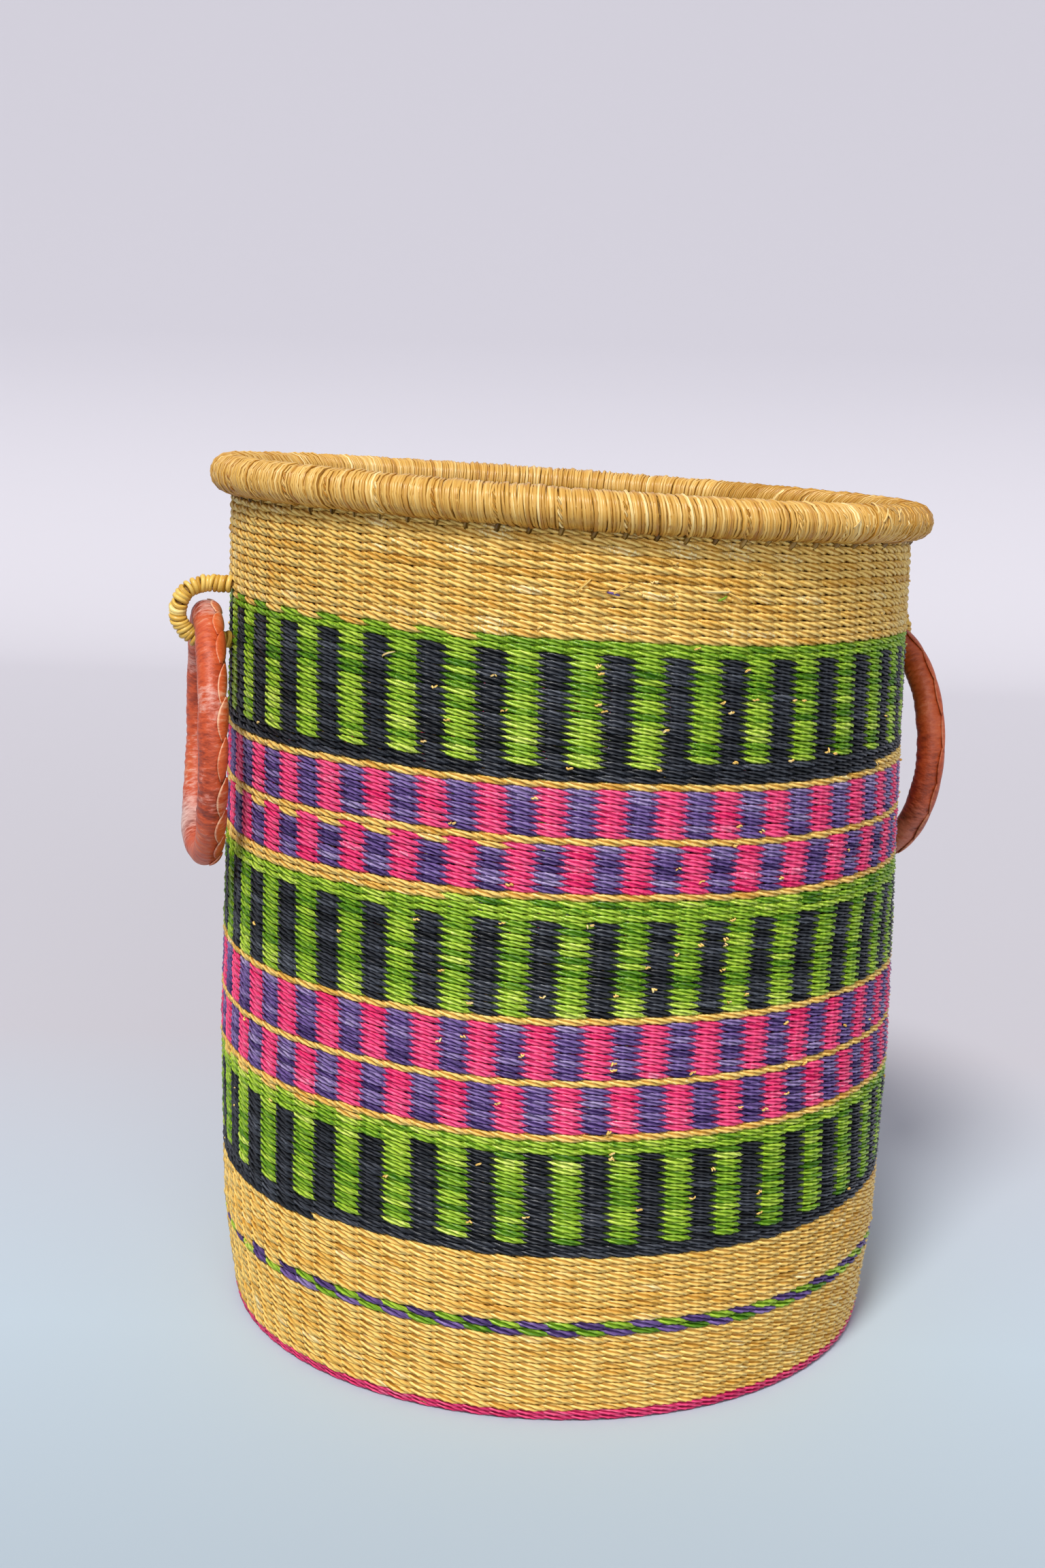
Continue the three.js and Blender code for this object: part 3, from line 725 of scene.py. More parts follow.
def rim_straw(group, number, straws_in_group, depth, breadth):
    """One straw over the rim: gathered at its outer end, and slanting as it goes over."""
    luck = chance.normal(size=8)
    turn = np.linspace(WRAP_FROM + START_STRAY * luck[6], WRAP_TO, WRAP_STEPS)
    share = (number + 0.5) / straws_in_group - 0.5
    rise = (turn - WRAP_FROM) / (WRAP_TO - WRAP_FROM)
    spread = 1 - group_gaps[group] * np.clip(1 - GAP_CLOSING * rise, 0, 1) ** 2
    seam = np.interp((group + share + SEAM_SHIFT) % RIM_GROUPS, SEAM_PLACES, SEAM_SLANTS)
    angle = FIRST_STAKE + GROUP_ANGLE * (group + share * spread + seam * (0.5 - rise))
    stray = SIDE_STRAYS[0] * luck[0] + SIDE_STRAYS[1] * luck[5] * np.cos(turn)
    stray += SIDE_STRAYS[2] * np.sin(2 * turn + 3 * luck[7])
    lie = GROUP_BULGE * math.cos(math.pi * share) - depth
    radius = RIM_ROLL + lie + OFF_STRAYS[0] * luck[1]
    radius += OFF_STRAYS[1] * np.sin(2 * turn + 3 * luck[2])
    # The straws are darker on the underside and lower outside of the roll.
    tone = bright_tone() - DARKENING * np.clip(DARK_RISE - rise, 0, 1)
    points = on_rim(angle + STEP * stray, radius, turn)
    thick = breadth * (1 + THICK_STRAY * luck[3])
    return plain_strand(points, thick, tone, chance.random(), radius * turn + luck[4])


def rim_braid(group, hand):
    """One straw of the little two-straw twist that sits between two groups."""
    luck = chance.normal(size=2)
    turn = np.linspace(BRAID_FROM, BRAID_TO, BRAID_STEPS)
    phase = 2 * math.pi * BRAID_TWISTS * np.linspace(0, 1, BRAID_STEPS) + math.pi * hand
    slant = BRAID_SLANT * (0.5 - (turn - WRAP_FROM) / (WRAP_TO - WRAP_FROM))
    angle = FIRST_STAKE + GROUP_ANGLE * (group + 0.5 + slant)
    angle += BRAID_SWING * np.cos(phase) / RIM_RADIUS
    radius = RIM_ROLL + BRAID_SWING * np.sin(phase) - BRAID_SUNK + BRAID_STRAY * luck[0]
    tone = chance.random()
    points = on_rim(angle, radius, turn)
    return plain_strand(points, BRAID_THICK, tone, tone, radius * turn + luck[1])


rim_look = oval_look("rim_straw_section", *RIM_STRAW_SIZE, STRAW_EDGES)
under_look = oval_look("under_section", *RIM_STRAW_SIZE, NO_GROOVES)
group_gaps = LEAST_GAP + GAP_RANGE * chance.random(RIM_GROUPS)
wraps = [rim_braid(group, hand) for group in range(RIM_GROUPS) for hand in (0, 1)]
unders = []
for group in range(RIM_GROUPS):
    for number in range(UNDER_STRAWS):
        unders.append(rim_straw(group, number, UNDER_STRAWS, UNDER_DEPTH, UNDER_BREADTH))
    for number in range(STRAWS_PER_GROUP):
        wraps.append(rim_straw(group, number, STRAWS_PER_GROUP, 0, 1))
straw_piece("rim_straw_wrap", wraps, "rim", rim_look, ["rim_wrap"])
straw_piece("rim_under_wrap", unders, "rim", under_look, ["rim_wrap"])

# Cut ends that stand off the rim: direction and turn round the roll in degrees, half length in
# millimetres, and lean.
FRAYED_ENDS = (
    (51.5, 62, 5, 0.5), (52.6, 30, 6, 0.9), (53.4, 8, 5, -0.4), (55.6, 44, 4, -0.9),
    (56.6, 30, 3, 0.3), (57.4, 40, 3.5, 1.1), (44.5, 2, 3, 0.8), (47, -12, 2.5, -0.6),
)
FRAY_THICK = 0.65
FRAY_TONE = 0.9
end_shares = np.linspace(-1, 1, 7)


def frayed_end(direction, turn, length, lean):
    """A cut end that stands off the rim where a new straw was laid in."""
    along = length * MM * end_shares
    angle = FRONT + math.radians(direction) + along * math.sin(lean) / RIM_RADIUS
    around = math.radians(turn) + along * math.cos(lean) / RIM_ROLL
    lift = 0.5 + 1.2 * np.clip(end_shares, 0, 1) + 0.9 * (1 - end_shares**2)
    points = on_rim(angle, RIM_ROLL + MM * lift, around)
    return plain_strand(points, FRAY_THICK, FRAY_TONE, FRAY_TONE, along)


frays = [frayed_end(*end) for end in FRAYED_ENDS]
straw_piece("frayed_rim_ends", frays, "rim", rim_look, ["rim_wrap"])


# How far up a stake's end each of its points is, how far out it lies, and how thick it is.
STAKE_END_RISES = np.array((0, 0.35, 0.7, 1))
STAKE_END_OUT = MM * np.array((-1.2, 0.5, 1.2, 1))
STAKE_END_THICK = np.array((0.9, 1, 1, 0.9))
STAKE_END_LOW = 5.5 * MM
STAKE_END_TALL = 6.5 * MM
STAKE_END_LONG = 9 * MM
STAKE_END_SLANT = 0.16
STAKE_END_STRAYS = (0.5 * MM, 0.03)


def stake_end(number):
    """A stake's end, seen as it slants up from the last row to go under the rim's wrap."""
    luck = chance.normal(size=3)
    height = WALL_TOP - STAKE_END_LOW + STAKE_END_TALL * STAKE_END_RISES
    height += STAKE_END_STRAYS[0] * luck[0]
    slant = (STAKE_END_SLANT + STAKE_END_STRAYS[1] * luck[1]) * STAKE_END_RISES
    angle = stake_angle(FIRST_STAKE + STEP * (number + slant), height)
    points = lifted_points(KNEE_RADII[-1] + STAKE_END_OUT, angle, height)
    tone = chance.random()
    along = STAKE_END_LONG * STAKE_END_RISES + luck[2]
    return plain_strand(points, STAKE_END_THICK, tone, tone, along, math.pi / 2)


stake_look = oval_look("stake_section", 1.7, 1.5, STRAW_EDGES)
bent_stakes = [stake_end(number) for number in range(STAKES)]
straw_piece("stake_ends", bent_stakes, "stake", stake_look)

# %% [markdown]
# ## The stakes
# A stake runs out along the base as a spoke, bends up at the heel and goes up inside the wall.
# It only shows in the gaps of the weft. Half of the stakes start nearer the middle, where a few
# more spokes carry on to it.

# %% Bend the stakes
STAKE_HEIGHTS = (9, 30, 60, 103, 140, 180, 220, 260, 300, 340, 380, 420, 460, 500, 514)
SPOKE_STARTS = (50, 102)
SPOKE_END = 199
CENTRE_SPOKES = ((54, 24, 20), (28, 2, 10))


def stake_line(radius, angle, height):
    """A stake as a strand, with one tone."""
    tone = chance.random()
    return plain_strand(lifted_points(radius, angle, height), 1, tone, tone, radius + height)


def whole_stake(number):
    """One stake from its inner end on the base to its top under the rim's wrap."""
    start = SPOKE_STARTS[number % 2]
    spoke = np.array([start, (start + SPOKE_END) / 2, SPOKE_END]) * MM
    height = np.array(STAKE_HEIGHTS) * MM
    radius = wall_radius(height) - WALL_THICKNESS / 2
    radius = np.concatenate([spoke, radius])
    height = np.concatenate([np.full(3, BASE_MIDDLE), height])
    angle = stake_angle(np.full(len(height), FIRST_STAKE + STEP * number), height)
    return stake_line(radius, angle, height)


stake_lines = [whole_stake(number) for number in range(STAKES)]
for outer, inner, count in CENTRE_SPOKES:
    ends = np.array([outer, inner]) * MM
    for number in range(count):
        angle = FIRST_STAKE + 2 * math.pi * number / count
        stake_lines.append(stake_line(ends, angle, np.full(2, BASE_MIDDLE)))
spoke_look = oval_look("spoke_section", 1.3, 1.2, NO_GROOVES)
straw_piece("grass_stakes", stake_lines, "stake", spoke_look, ["stakes"])

# %% [markdown]
# ## Ends of straw
# Where a straw runs out the weaver tucks its end in and cuts it short, and a stub or a small bow
# of undyed straw stays on the outside. Those on the front are where the photograph shows them, as
# directions in degrees and heights in millimetres. On the other sides they are scattered. The
# long bits have a half length as well.

# %% Place the straw ends
SEEN_ENDS = (
    (-36.3, 491.7), (12.3, 485), (15.5, 495.7), (29.2, 491), (15.5, 478.4), (15.2, 473.7),
    (10.5, 478.4), (1.2, 473), (0.7, 462.6), (-3.8, 457.5), (19.2, 450.3), (4.7, 438.3),
    (5.1, 434.6), (27.7, 438.6), (-8.5, 412), (-17.2, 404), (-10.3, 430.3), (-19.2, 421),
    (-20.7, 391), (4.8, 417.7), (5.8, 414.6), (23.7, 420.7), (29.3, 422), (36.6, 421),
    (38.6, 420.6), (25.3, 415), (15, 405), (1, 382.6), (14.3, 383), (26.2, 387), (36.5, 386.6),
    (46.2, 388), (44.3, 389.7), (-3.8, 365.3), (-16, 347.7), (-7.2, 317), (31.3, 347), (27.3, 351),
    (17.7, 328), (21.4, 320.4), (35.5, 318.6), (26.8, 339.7), (-8, 295), (-21, 292),
    (-34.8, 277.7), (-17, 265.3), (-12.3, 248.7), (-1.7, 255), (-13.3, 229.3), (-17, 225),
    (-4.5, 220.7), (-7.8, 192.7), (-25.3, 140.3), (-11.7, 121.3), (-3.2, 127), (-10.5, 156.3),
    (4.8, 296), (26.8, 297), (21.7, 283.7), (18, 279), (25.8, 286.3), (25.8, 283), (25.5, 268.3),
    (13.5, 272.3), (9, 256.3), (14.7, 259.4), (29.8, 252.7), (26.8, 249.3), (9, 217.7), (9, 213.7),
    (21.3, 210.3), (37.7, 231.7), (38.5, 205), (42.3, 204.7), (29.7, 186.6), (34.3, 182.6),
    (38.5, 189.3), (8.7, 178), (9.3, 165.7), (9.2, 162.6), (25.3, 151.7), (22.2, 136),
    (13.8, 131.7), (34.2, 132.3), (34.7, 119.7),
)
LONG_BITS = (
    (-27, 436.3, 4.5), (4.3, 479.4, 5.5), (7.6, 480.4, 6.5), (2.2, 481.6, 6), (22, 481.5, 9),
    (25, 479, 5.5),
)
SEEN_SIDE = 50
UNSEEN_ENDS = 190
UNSEEN_LOW = 20
UNSEEN_RANGE = 480
# The stubs on the front come in pairs. The lengths of all stubs are in millimetres.
PAIR_SHIFT = 0.2
PAIR_STRAY = 0.08
PAIR_LEAN = 1.2
LEAST_STUB = 0.8
SEEN_STUB_RANGE = 0.3
UNSEEN_STUB_RANGE = 0.8
STUB_PROUD = 0.5 * MM
LONG_PROUD = 1.4 * MM
BOW_LEAN = 0.5
BOW_DROOP = 0.4 * MM
BOW_THICK = 0.48
BOW_THICKER = 0.16
BOW_THICK_STRAY = 0.08
BOW_GRAIN = 20 * MM


def straw_bow(direction, height, length, proud):
    """A short bow of straw that comes out of the wall and goes back in."""
    luck = chance.normal(size=3)
    lean = BOW_LEAN * luck[0]
    along = length * end_shares * math.cos(lean)
    angle = FRONT + math.radians(direction) + along / KNEE_RADII[2]
    height += length * end_shares * math.sin(lean) + BOW_DROOP * luck[1] * end_shares**2
    radius = wall_radius(height) + proud * (1 - 1.6 * end_shares**4)
    thick = BOW_THICK + BOW_THICKER * (1 - end_shares**2) + BOW_THICK_STRAY * luck[2]
    thick *= min(1, length / MM)
    tone = bright_tone()
    points = lifted_points(radius, angle, height)
    return plain_strand(points, thick, tone, tone, BOW_GRAIN * end_shares)


ends = []
for direction, height in SEEN_ENDS:
    for shift in (-PAIR_SHIFT, PAIR_SHIFT):
        away = direction + shift + PAIR_STRAY * chance.normal()
        up = (height + PAIR_LEAN * shift) * MM
        length = (LEAST_STUB + SEEN_STUB_RANGE * chance.random()) * MM
        ends.append(straw_bow(away, up, length, STUB_PROUD))
for _ in range(UNSEEN_ENDS):
    direction = SEEN_SIDE + (360 - 2 * SEEN_SIDE) * chance.random()
    height = (UNSEEN_LOW + UNSEEN_RANGE * chance.random()) * MM
    length = (LEAST_STUB + UNSEEN_STUB_RANGE * chance.random()) * MM
    ends.append(straw_bow(direction, height, length, STUB_PROUD))
for direction, height, length in LONG_BITS:
    ends.append(straw_bow(direction, height * MM, length * MM, LONG_PROUD))
green_bit = straw_bow(23, 477.7 * MM, 3 * MM, 0.4 * MM)
purple_bit = straw_bow(6.5, 478 * MM, 3.4 * MM, STUB_PROUD)
straw_piece("straw_ends", ends, "natural", rim_look)
straw_piece("green_straw_end", [green_bit], "green", rim_look)
straw_piece("purple_straw_end", [purple_bit], "purple", rim_look)

# %% [markdown]
# ## The loops
# Each ring hangs in a loop of grass that comes out through the wall and goes back in below. A
# split straw is wound round it from end to end, and each turn bulges a little.

# %% Wind the loops
LOOP_BEND = 17 * MM
LOOP_TURNS = 30
WINDING_RADIUS = 4.1 * MM
# How much painted shade each point of the winding's section gets, for the shade between turns.
LOOP_EDGES = (0.55, 0, 0, 0, 0.55, 0, 0, 0)
WINDING_STEPS = 14
WINDING_INSET = 0.8 * MM
# Where each loop leaves the wall and bends back, how its ring hangs and bulges, and how the cover
# is laced: first the left handle's value and then the right one's.
SIDES = {"left": {}, "right": {}}
for field, *values in (
    ("angle", math.pi, STEP),
    ("height", 446.4 * MM, 434 * MM),
    ("bend", 229.34 * MM, 229.52 * MM),
    ("ring_turn", math.radians(-2.75), math.radians(7.3)),
    ("bulge", 5 * MM, 0),
    ("bulge_turn", math.radians(208), math.radians(205)),
    ("seam", math.radians(-45), math.radians(35)),
    ("lap", 0.12, 0.34),
    ("leaf_width", 0.54, 0.5),
):
    SIDES["left"][field], SIDES["right"][field] = values
RING_DROP = 1.78 * MM
winding_look = oval_look("winding_section", 1.5, 1.5, LOOP_EDGES)


def turned(x, y, angle):
    """Flat coordinates turned by an angle."""
    cosine, sine = math.cos(angle), math.sin(angle)
    return x * cosine - y * sine, x * sine + y * cosine


def to_side(x, y, z, side):
    """Points, each as x, y and z, turned from the +X side round to a handle's own side."""
    return np.stack([*turned(x, y, SIDES[side]["angle"]), z], axis=1)


def winding(side):
    """The straw's helix round the loop, as points with the loop's shape."""
    place = SIDES[side]
    wall = wall_radius(place["height"])
    leg = place["bend"] - wall
    whole = 2 * leg + math.pi * LOOP_BEND
    steps = LOOP_TURNS * WINDING_STEPS
    travelled = np.linspace(WINDING_INSET, whole - WINDING_INSET, steps)
    turn = np.linspace(0, 2 * math.pi * LOOP_TURNS, steps)
    # Slow waves, out of step with the turns, let them lean, crowd and bulge unevenly.
    lean = 0.5 + 0.7 * np.sin(turn * 0.31) + 0.5 * np.sin(turn * 0.087)
    stray = lean * np.sin(turn) + 0.3 * np.sin(turn * 0.23) + 0.5 * np.sin(turn * 0.93)
    travelled += MM * stray
    wander = 0.98 + 0.04 * np.sin(turn * 0.37) + 0.06 * np.sin(turn * 0.83)
    bend = np.clip((travelled - leg) / LOOP_BEND, 0, math.pi)
    back = np.maximum(travelled - leg - math.pi * LOOP_BEND, 0)
    out = wall + np.minimum(travelled, leg) + LOOP_BEND * np.sin(bend) - back
    high = place["height"] + LOOP_BEND * np.cos(bend)
    radius = WINDING_RADIUS * wander
    x = out + radius * np.cos(turn) * np.sin(bend)
    z = high + radius * np.cos(turn) * np.cos(bend)
    y = radius * np.sin(turn)
    points = np.concatenate([to_side(x, y, z, side), np.ones((steps, 1))], axis=1)
    tone = np.repeat(chance.random(LOOP_TURNS), WINDING_STEPS)
    leaf = np.repeat(chance.random(LOOP_TURNS), WINDING_STEPS)
    thick = 1.02 + 0.1 * np.sin(turn * 0.51 + 1) + 0.06 * np.sin(turn * 1.37)
    return plain_strand(points, thick, tone, leaf, turn * WINDING_RADIUS)


for side in SIDES:
    node = f"{side}_loop_winding"
    straw_piece(f"{side}_loop_straw", [winding(side)], "loop", winding_look, [node])

# %% [markdown]
# ## The rings
# A ring is a grass core covered with goat leather, which is put on wet and laced shut along a
# seam. A flat pattern is laid out first, with one axis along the ring and the other round it,
# and is then wrapped on, as the maker wraps the hide.

# %% Wrap flat work round a ring
RING_HALF_HEIGHT = 73 * MM
RING_HALF_WIDTH = 59 * MM
RING_RADIUS = 9.1 * MM
BULGE_SPREAD = math.radians(34)


def onto_ring(flat, side):
    """Wraps (turn along the ring, turn round it, distance from its middle) round a ring."""
    place = SIDES[side]
    turn, around, distance = flat[:, 0], flat[:, 1] + place["seam"], flat[:, 2]
    y = RING_HALF_WIDTH * np.sin(turn)
    z = RING_HALF_HEIGHT * np.cos(turn)
    out_y = RING_HALF_HEIGHT * np.sin(turn)
    out_z = RING_HALF_WIDTH * np.cos(turn)
    length = np.hypot(out_y, out_z)
    y += distance * np.cos(around) * out_y / length
    z += distance * np.cos(around) * out_z / length
    bulge = place["bulge"] * np.exp(-(((turn - place["bulge_turn"]) / BULGE_SPREAD) ** 2))
    x, y = turned(distance * np.sin(around) + bulge, y, place["ring_turn"])
    centre = place["height"] - RING_DROP - RING_HALF_HEIGHT
    return to_side(x + place["bend"], y, z + centre, side)


# The leather's pattern is read on a wide thin ring, where its wrinkles can run across the tube
# with no seam: this wide, and this thick. At this width a wrinkle comes every 2 mm or so.
HIDE_LONG = 24
HIDE_ROUND = 1.1
RING_COLUMNS = 420
RING_ROWS = 30


def grid_piece(name, columns, rows, shape_flat, side, welded):
    """A grid that is shaped flat by a function and then wrapped onto a ring."""
    shape = bmesh.new()
    bmesh.ops.create_grid(shape, x_segments=columns, y_segments=rows, size=1)
    mesh = bpy.data.meshes.new(name)
    shape.to_mesh(mesh)
    shape.free()
    flat = np.zeros(len(mesh.vertices) * 3, np.float32)
    mesh.vertices.foreach_get("co", flat)
    flat = flat.reshape(-1, 3)
    flat, worn = shape_flat((flat[:, 0] + 1) / 2, (flat[:, 1] + 1) / 2)
    mesh.vertices.foreach_set("co", onto_ring(flat, side).astype(np.float32).ravel())
    turn, around = flat[:, 0], flat[:, 1]
    wide = HIDE_LONG + HIDE_ROUND * np.cos(around)
    hide = np.stack([wide * np.cos(turn), wide * np.sin(turn), HIDE_ROUND * np.sin(around)], axis=1)
    put_attribute(mesh, "hide", "FLOAT_VECTOR", hide)
    put_attribute(mesh, "worn", "FLOAT", worn)
    if welded:
        return close_and_place(name, mesh)
    return mesh


# Counts round the ring of its wrinkles, fine wrinkles and swellings, and where it is worn.
WRINKLES = 61
FINE_WRINKLES = 139
SWELLINGS = (9, 17)
HIDE_SUNK = 0.65 * MM
WORN_TURN = math.radians(205)
WORN_SPREAD = 0.45


def leather_shape(along, around):
    """The leather as it lies on the core: cross wrinkles and slow swellings."""
    turn = 2 * math.pi * along
    round_turn = 2 * math.pi * around
    bent = 2.2 * np.sin(round_turn + 5 * turn) + 3 * np.sin(7 * turn)
    wrinkle = np.sin(WRINKLES * turn + bent)
    fine = np.sin(FINE_WRINKLES * turn + 3 * np.sin(2 * round_turn) + 2 * np.sin(11 * turn))
    patches = 0.5 + 0.5 * np.sin(3 * turn + 1.3 * np.sin(round_turn))
    swell = 0.4 * np.sin(SWELLINGS[0] * turn + 1) + 0.3 * np.sin(SWELLINGS[1] * turn + round_turn)
    relief = 0.24 * wrinkle * patches + 0.08 * fine + 0.45 * swell
    distance = RING_RADIUS - HIDE_SUNK + MM * relief
    worn = np.exp(-(((turn - WORN_TURN) / WORN_SPREAD) ** 2)) + 0.4 * np.cos(0.5 * turn) ** 8
    return np.stack([turn, round_turn, distance], axis=1), worn


def leather_material(name, colours, scuff_colour, scuff_share):
    """Leather put on wet: cross wrinkles, slow patches 35 to 50 mm wide, and pale worn places."""
    material, tree, surface = new_material(name)
    hide = add_node(tree, "ShaderNodeAttribute", {"attribute_name": "hide"}).outputs["Vector"]
    worn = add_node(tree, "ShaderNodeAttribute", {"attribute_name": "worn"}).outputs["Fac"]
    place = add_node(tree, "ShaderNodeTexCoord").outputs["Object"]
    folds = add_node(tree, "ShaderNodeTexNoise", Vector=hide, Scale=1.3, Detail=5, Roughness=0.62)
    cloud = add_node(tree, "ShaderNodeTexNoise", Vector=place, Scale=28, Detail=3)
    rubbed = add_node(tree, "ShaderNodeTexNoise", Vector=place, Scale=19, Detail=2)
    sum_of = {"operation": "MULTIPLY_ADD"}
    mixed, marks, wear = (add_node(tree, "ShaderNodeMath", sum_of) for _ in range(3))
    set_inputs(mixed, i0=folds, i1=0.8, i2=cloud)
    set_inputs(marks, i0=folds, i1=0.7, i2=rubbed)
    set_inputs(wear, i0=worn, i1=0.3, i2=marks)
    spread = add_node(tree, "ShaderNodeMapRange", Value=mixed, From_Min=0.6, From_Max=1.2)
    colour = fill_ramp(add_node(tree, "ShaderNodeValToRGB", i0=spread), colours)
    scuffs = add_node(
        tree, "ShaderNodeMapRange", Value=wear, From_Min=0.95, From_Max=1.25, To_Max=scuff_share
    )
    scuffed = add_node(
        tree, "ShaderNodeMix", {"data_type": "RGBA"}, i0=scuffs, i6=colour, i7=linear(scuff_colour)
    )
    bump = add_node(tree, "ShaderNodeBump", Strength=0.7, Distance=1.2 * MM, Height=folds)
    set_inputs(surface, Base_Color=scuffed.outputs[2], Roughness=0.42, Normal=bump)
    return material


# The right ring's leather and lace are darker copies of the left's: the darkness is painted shade
# of the basket's right side, while their fewer pale worn places are the leather's own.
for side, use, name, colours, scuff_colour, scuff_share in (
    ("left", "leather", "red_goat_leather",
     ("#641C0A", "#943416", "#BE4A20", "#C85A30", "#D27A54"), "#DCC4BC", 0.75),
    ("right", "leather", "shaded_red_goat_leather",
     ("#58180A", "#8C3410", "#B0481C", "#BE562A", "#CA6E46"), "#C89080", 0.3),
    ("left", "lace", "oiled_goat_leather_thong",
     ("#9C3816", "#BE4E20", "#CE5C2C", "#D86C3C", "#E48C64"), "#E4BC98", 0.8),
    ("right", "lace", "shaded_goat_leather_thong",
     ("#7C2A10", "#A04018", "#B64C20", "#C25C30", "#CC7450"), "#D49C78", 0.5),
):
    SIDES[side][use] = leather_material(name, colours, scuff_colour, scuff_share)

LEAVES = 21
LEAF_COLUMNS = 14
LEAF_ROWS = 8
LEAF_SLANT = 0.34
THONG_THICKNESS = 0.9 * MM


def leaf_shape(number, side):
    """One pass of the lace: a pointed leaf that lies slantwise over the seam."""
    luck = chance.normal(size=3)
    lap = SIDES[side]["lap"]

    def shape_flat(along, around):
        across = 2 * around - 1
        width = np.sin(math.pi * np.clip(along, 0.03, 0.97)) ** 0.7 * (1 + 0.1 * luck[0])
        turn = 2 * math.pi * (number + 0.5 + (1 + lap) * (along - 0.5) + 0.04 * luck[1]) / LEAVES
        round_turn = SIDES[side]["leaf_width"] * across * width
        round_turn += LEAF_SLANT * (along - 0.5) + 0.04 * luck[2]
        over = MM * (0.5 * (1 - along) + 0.4 * (1 - across**2) * width - 0.15)
        return np.stack([turn, round_turn, RING_RADIUS + over], axis=1), across**8

    return shape_flat


def lace_piece(name, side):
    """All the leaves of a lace, each a thin patch with the thickness of the thong."""
    whole = bmesh.new()
    for number in range(LEAVES):
        leaf = grid_piece("leaf", LEAF_COLUMNS, LEAF_ROWS, leaf_shape(number, side), side, False)
        whole.from_mesh(leaf)
        bpy.data.meshes.remove(leaf)
    bmesh.ops.recalc_face_normals(whole, faces=whole.faces)
    piece = place_mesh(name, whole, bpy.data.meshes.new(name))
    solid = piece.modifiers.new("thickness", "SOLIDIFY")
    solid.thickness = THONG_THICKNESS
    solid.offset = 0
    return piece


for side in SIDES:
    cover = grid_piece(f"{side}_ring_hide", RING_COLUMNS, RING_ROWS, leather_shape, side, True)
    thong = lace_piece(f"{side}_ring_thong", side)
    for piece, use in ((cover, "leather"), (thong, "lace")):
        node = f"{side}_ring_{use}"
        finish_piece(piece, f"{side}_ring", SIDES[side][use], [node])

# %% [markdown]
# ## What is inside
# The bundles of grass inside the rim, the loops and the rings are covered all over, so their
# solids stay as they are and get a matt dry straw, with fibres 1 mm wide. Its colour is painted
# darker, as painted shade, for where the rim's core shows through the gaps of its wrap.

# %% Finish the inner straw
def shaded_dry_straw(name, colours):
    """Dry grass, matt and fibrous, with painted shade darkening it for the gaps it shows in."""
    material, tree, surface = new_material(name)
    place = add_node(tree, "ShaderNodeTexCoord").outputs["Object"]
    fibres = add_node(tree, "ShaderNodeTexNoise", Vector=place, Scale=900, Detail=3)
    colour = fill_ramp(add_node(tree, "ShaderNodeValToRGB", i0=fibres), colours)
    bump = add_node(tree, "ShaderNodeBump", Strength=0.4, Distance=FIBRE_BUMP, Height=fibres)
    set_inputs(surface, Base_Color=colour, Roughness=0.7, Normal=bump)
    return material


# Painted shade: the core's straw is made dark brown, since it shows only in the shaded gaps.
dry = shaded_dry_straw("shaded_dry_grass_bundle", ("#6A4A1E", "#9A7434", "#B08A45"))
for node in ("rim_core", "left_loop_core", "right_loop_core", "left_ring_core", "right_ring_core"):
    solid = bpy.data.objects[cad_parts[node].name]
    solid.data.materials.clear()
    solid.data.materials.append(dry)

# %% [markdown]
# ## Floor and light
# A pale floor runs up into a pale backdrop, and the light is soft and plain. The floor's paper is
# painted darker towards the front, as painted shade of a floor that bends away there.

# %% Stage and lamps
STAGE_HALF_WIDTH = 6
STAGE_BACK = 3.2
STAGE_DEPTH = 9
STAGE_BEND = 0.8
STAGE_BEND_STEPS = 12
STAGE_TOP = 4


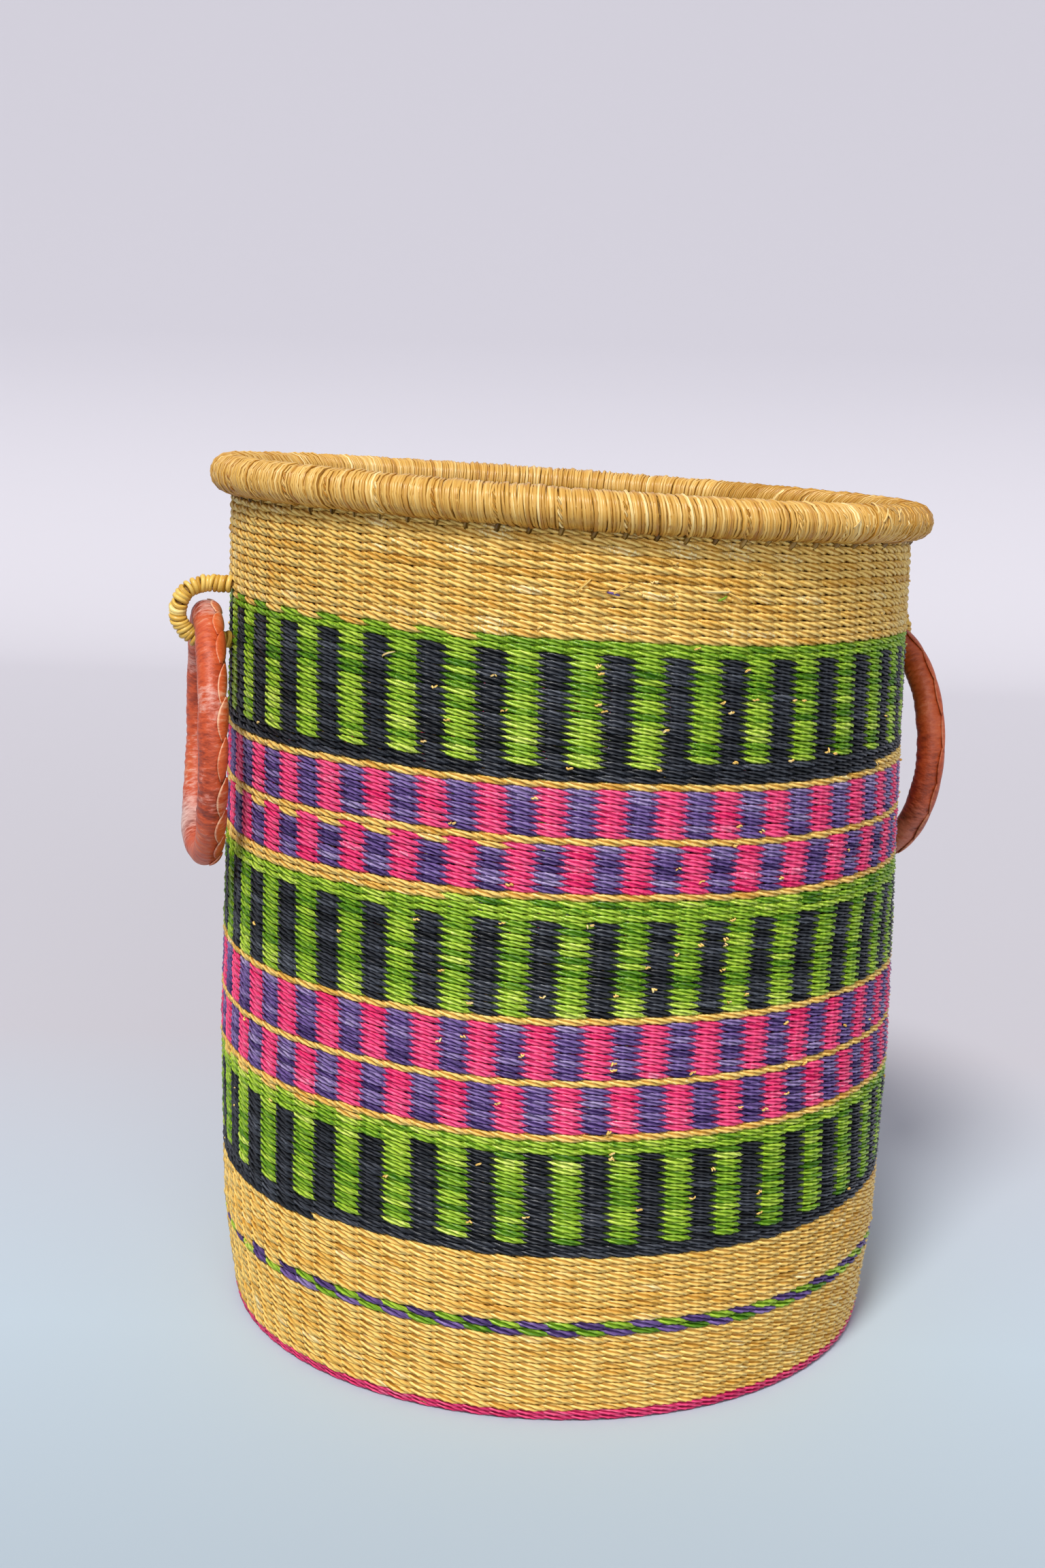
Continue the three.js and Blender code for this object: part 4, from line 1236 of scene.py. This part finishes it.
def stage_sheet():
    """A floor that bends up into a backdrop behind the basket."""
    bend = np.linspace(0, math.pi / 2, STAGE_BEND_STEPS + 1)
    depths = STAGE_BACK + STAGE_BEND * np.sin(bend)
    heights = STAGE_BEND - STAGE_BEND * np.cos(bend)
    profile = [
        (STAGE_BACK - STAGE_DEPTH, 0), *zip(depths, heights), (depths[-1], STAGE_BEND + STAGE_TOP)
    ]
    shape = bmesh.new()
    left, right = (
        [shape.verts.new((x, *place)) for place in profile]
        for x in (-STAGE_HALF_WIDTH, STAGE_HALF_WIDTH)
    )
    for corners in zip(left, left[1:], right[1:], right):
        shape.faces.new(corners)
    bmesh.ops.recalc_face_normals(shape, faces=shape.faces)
    sheet = place_mesh("backdrop", shape, bpy.data.meshes.new("backdrop"))
    sheet.data.transform(Matrix.Rotation(VIEW_TURN, 4, "Z"))
    return sheet


backdrop = stage_sheet()
paper, tree, surface = new_material("matt_backdrop_paper")
spot = add_node(tree, "ShaderNodeTexCoord").outputs["Object"]
away = Vector((-math.sin(VIEW_TURN), math.cos(VIEW_TURN), 0))
depth = add_node(tree, "ShaderNodeVectorMath", {"operation": "DOT_PRODUCT"}, i0=spot, i1=away)
depth = depth.outputs["Value"]
# Painted shade: the paper darkens towards the front of the floor.
rise = add_node(tree, "ShaderNodeMapRange", Value=depth, From_Min=-0.7, From_Max=0.5)
shades = add_node(tree, "ShaderNodeValToRGB", i0=rise)
fill_ramp(shades, ("#9CA9B4", "#B6C5D2", "#BAB8C0"))
set_inputs(surface, Base_Color=shades, Roughness=0.9)
backdrop.data.materials.append(paper)


def add_lamp(name, place, spread, strength, colour):
    """A lamp as far off as the sun, so that floor, backdrop and basket are lit evenly."""
    data = bpy.data.lights.new(name, "SUN")
    data.angle = math.radians(spread)
    data.energy = strength
    data.color = linear(colour)[:3]
    lamp = bpy.data.objects.new(name, data)
    lamp.location = Matrix.Rotation(VIEW_TURN, 3, "Z") @ Vector(place)
    lamp.rotation_euler = (-lamp.location).to_track_quat("-Z", "Y").to_euler()
    scene.collection.objects.link(lamp)


add_lamp("key", (-0.5, -1.4, 1.9), 14, 2.9, "#FFFDF8")
add_lamp("front", (0.7, -2.4, 0.7), 30, 0.8, "#F8F9FF")
world = bpy.data.worlds.new("studio")
world.use_nodes = True
set_inputs(world.node_tree.nodes["Background"], Color=linear("#F4F4FA"), Strength=0.5)
scene.world = world
scene.view_settings.view_transform = "Standard"
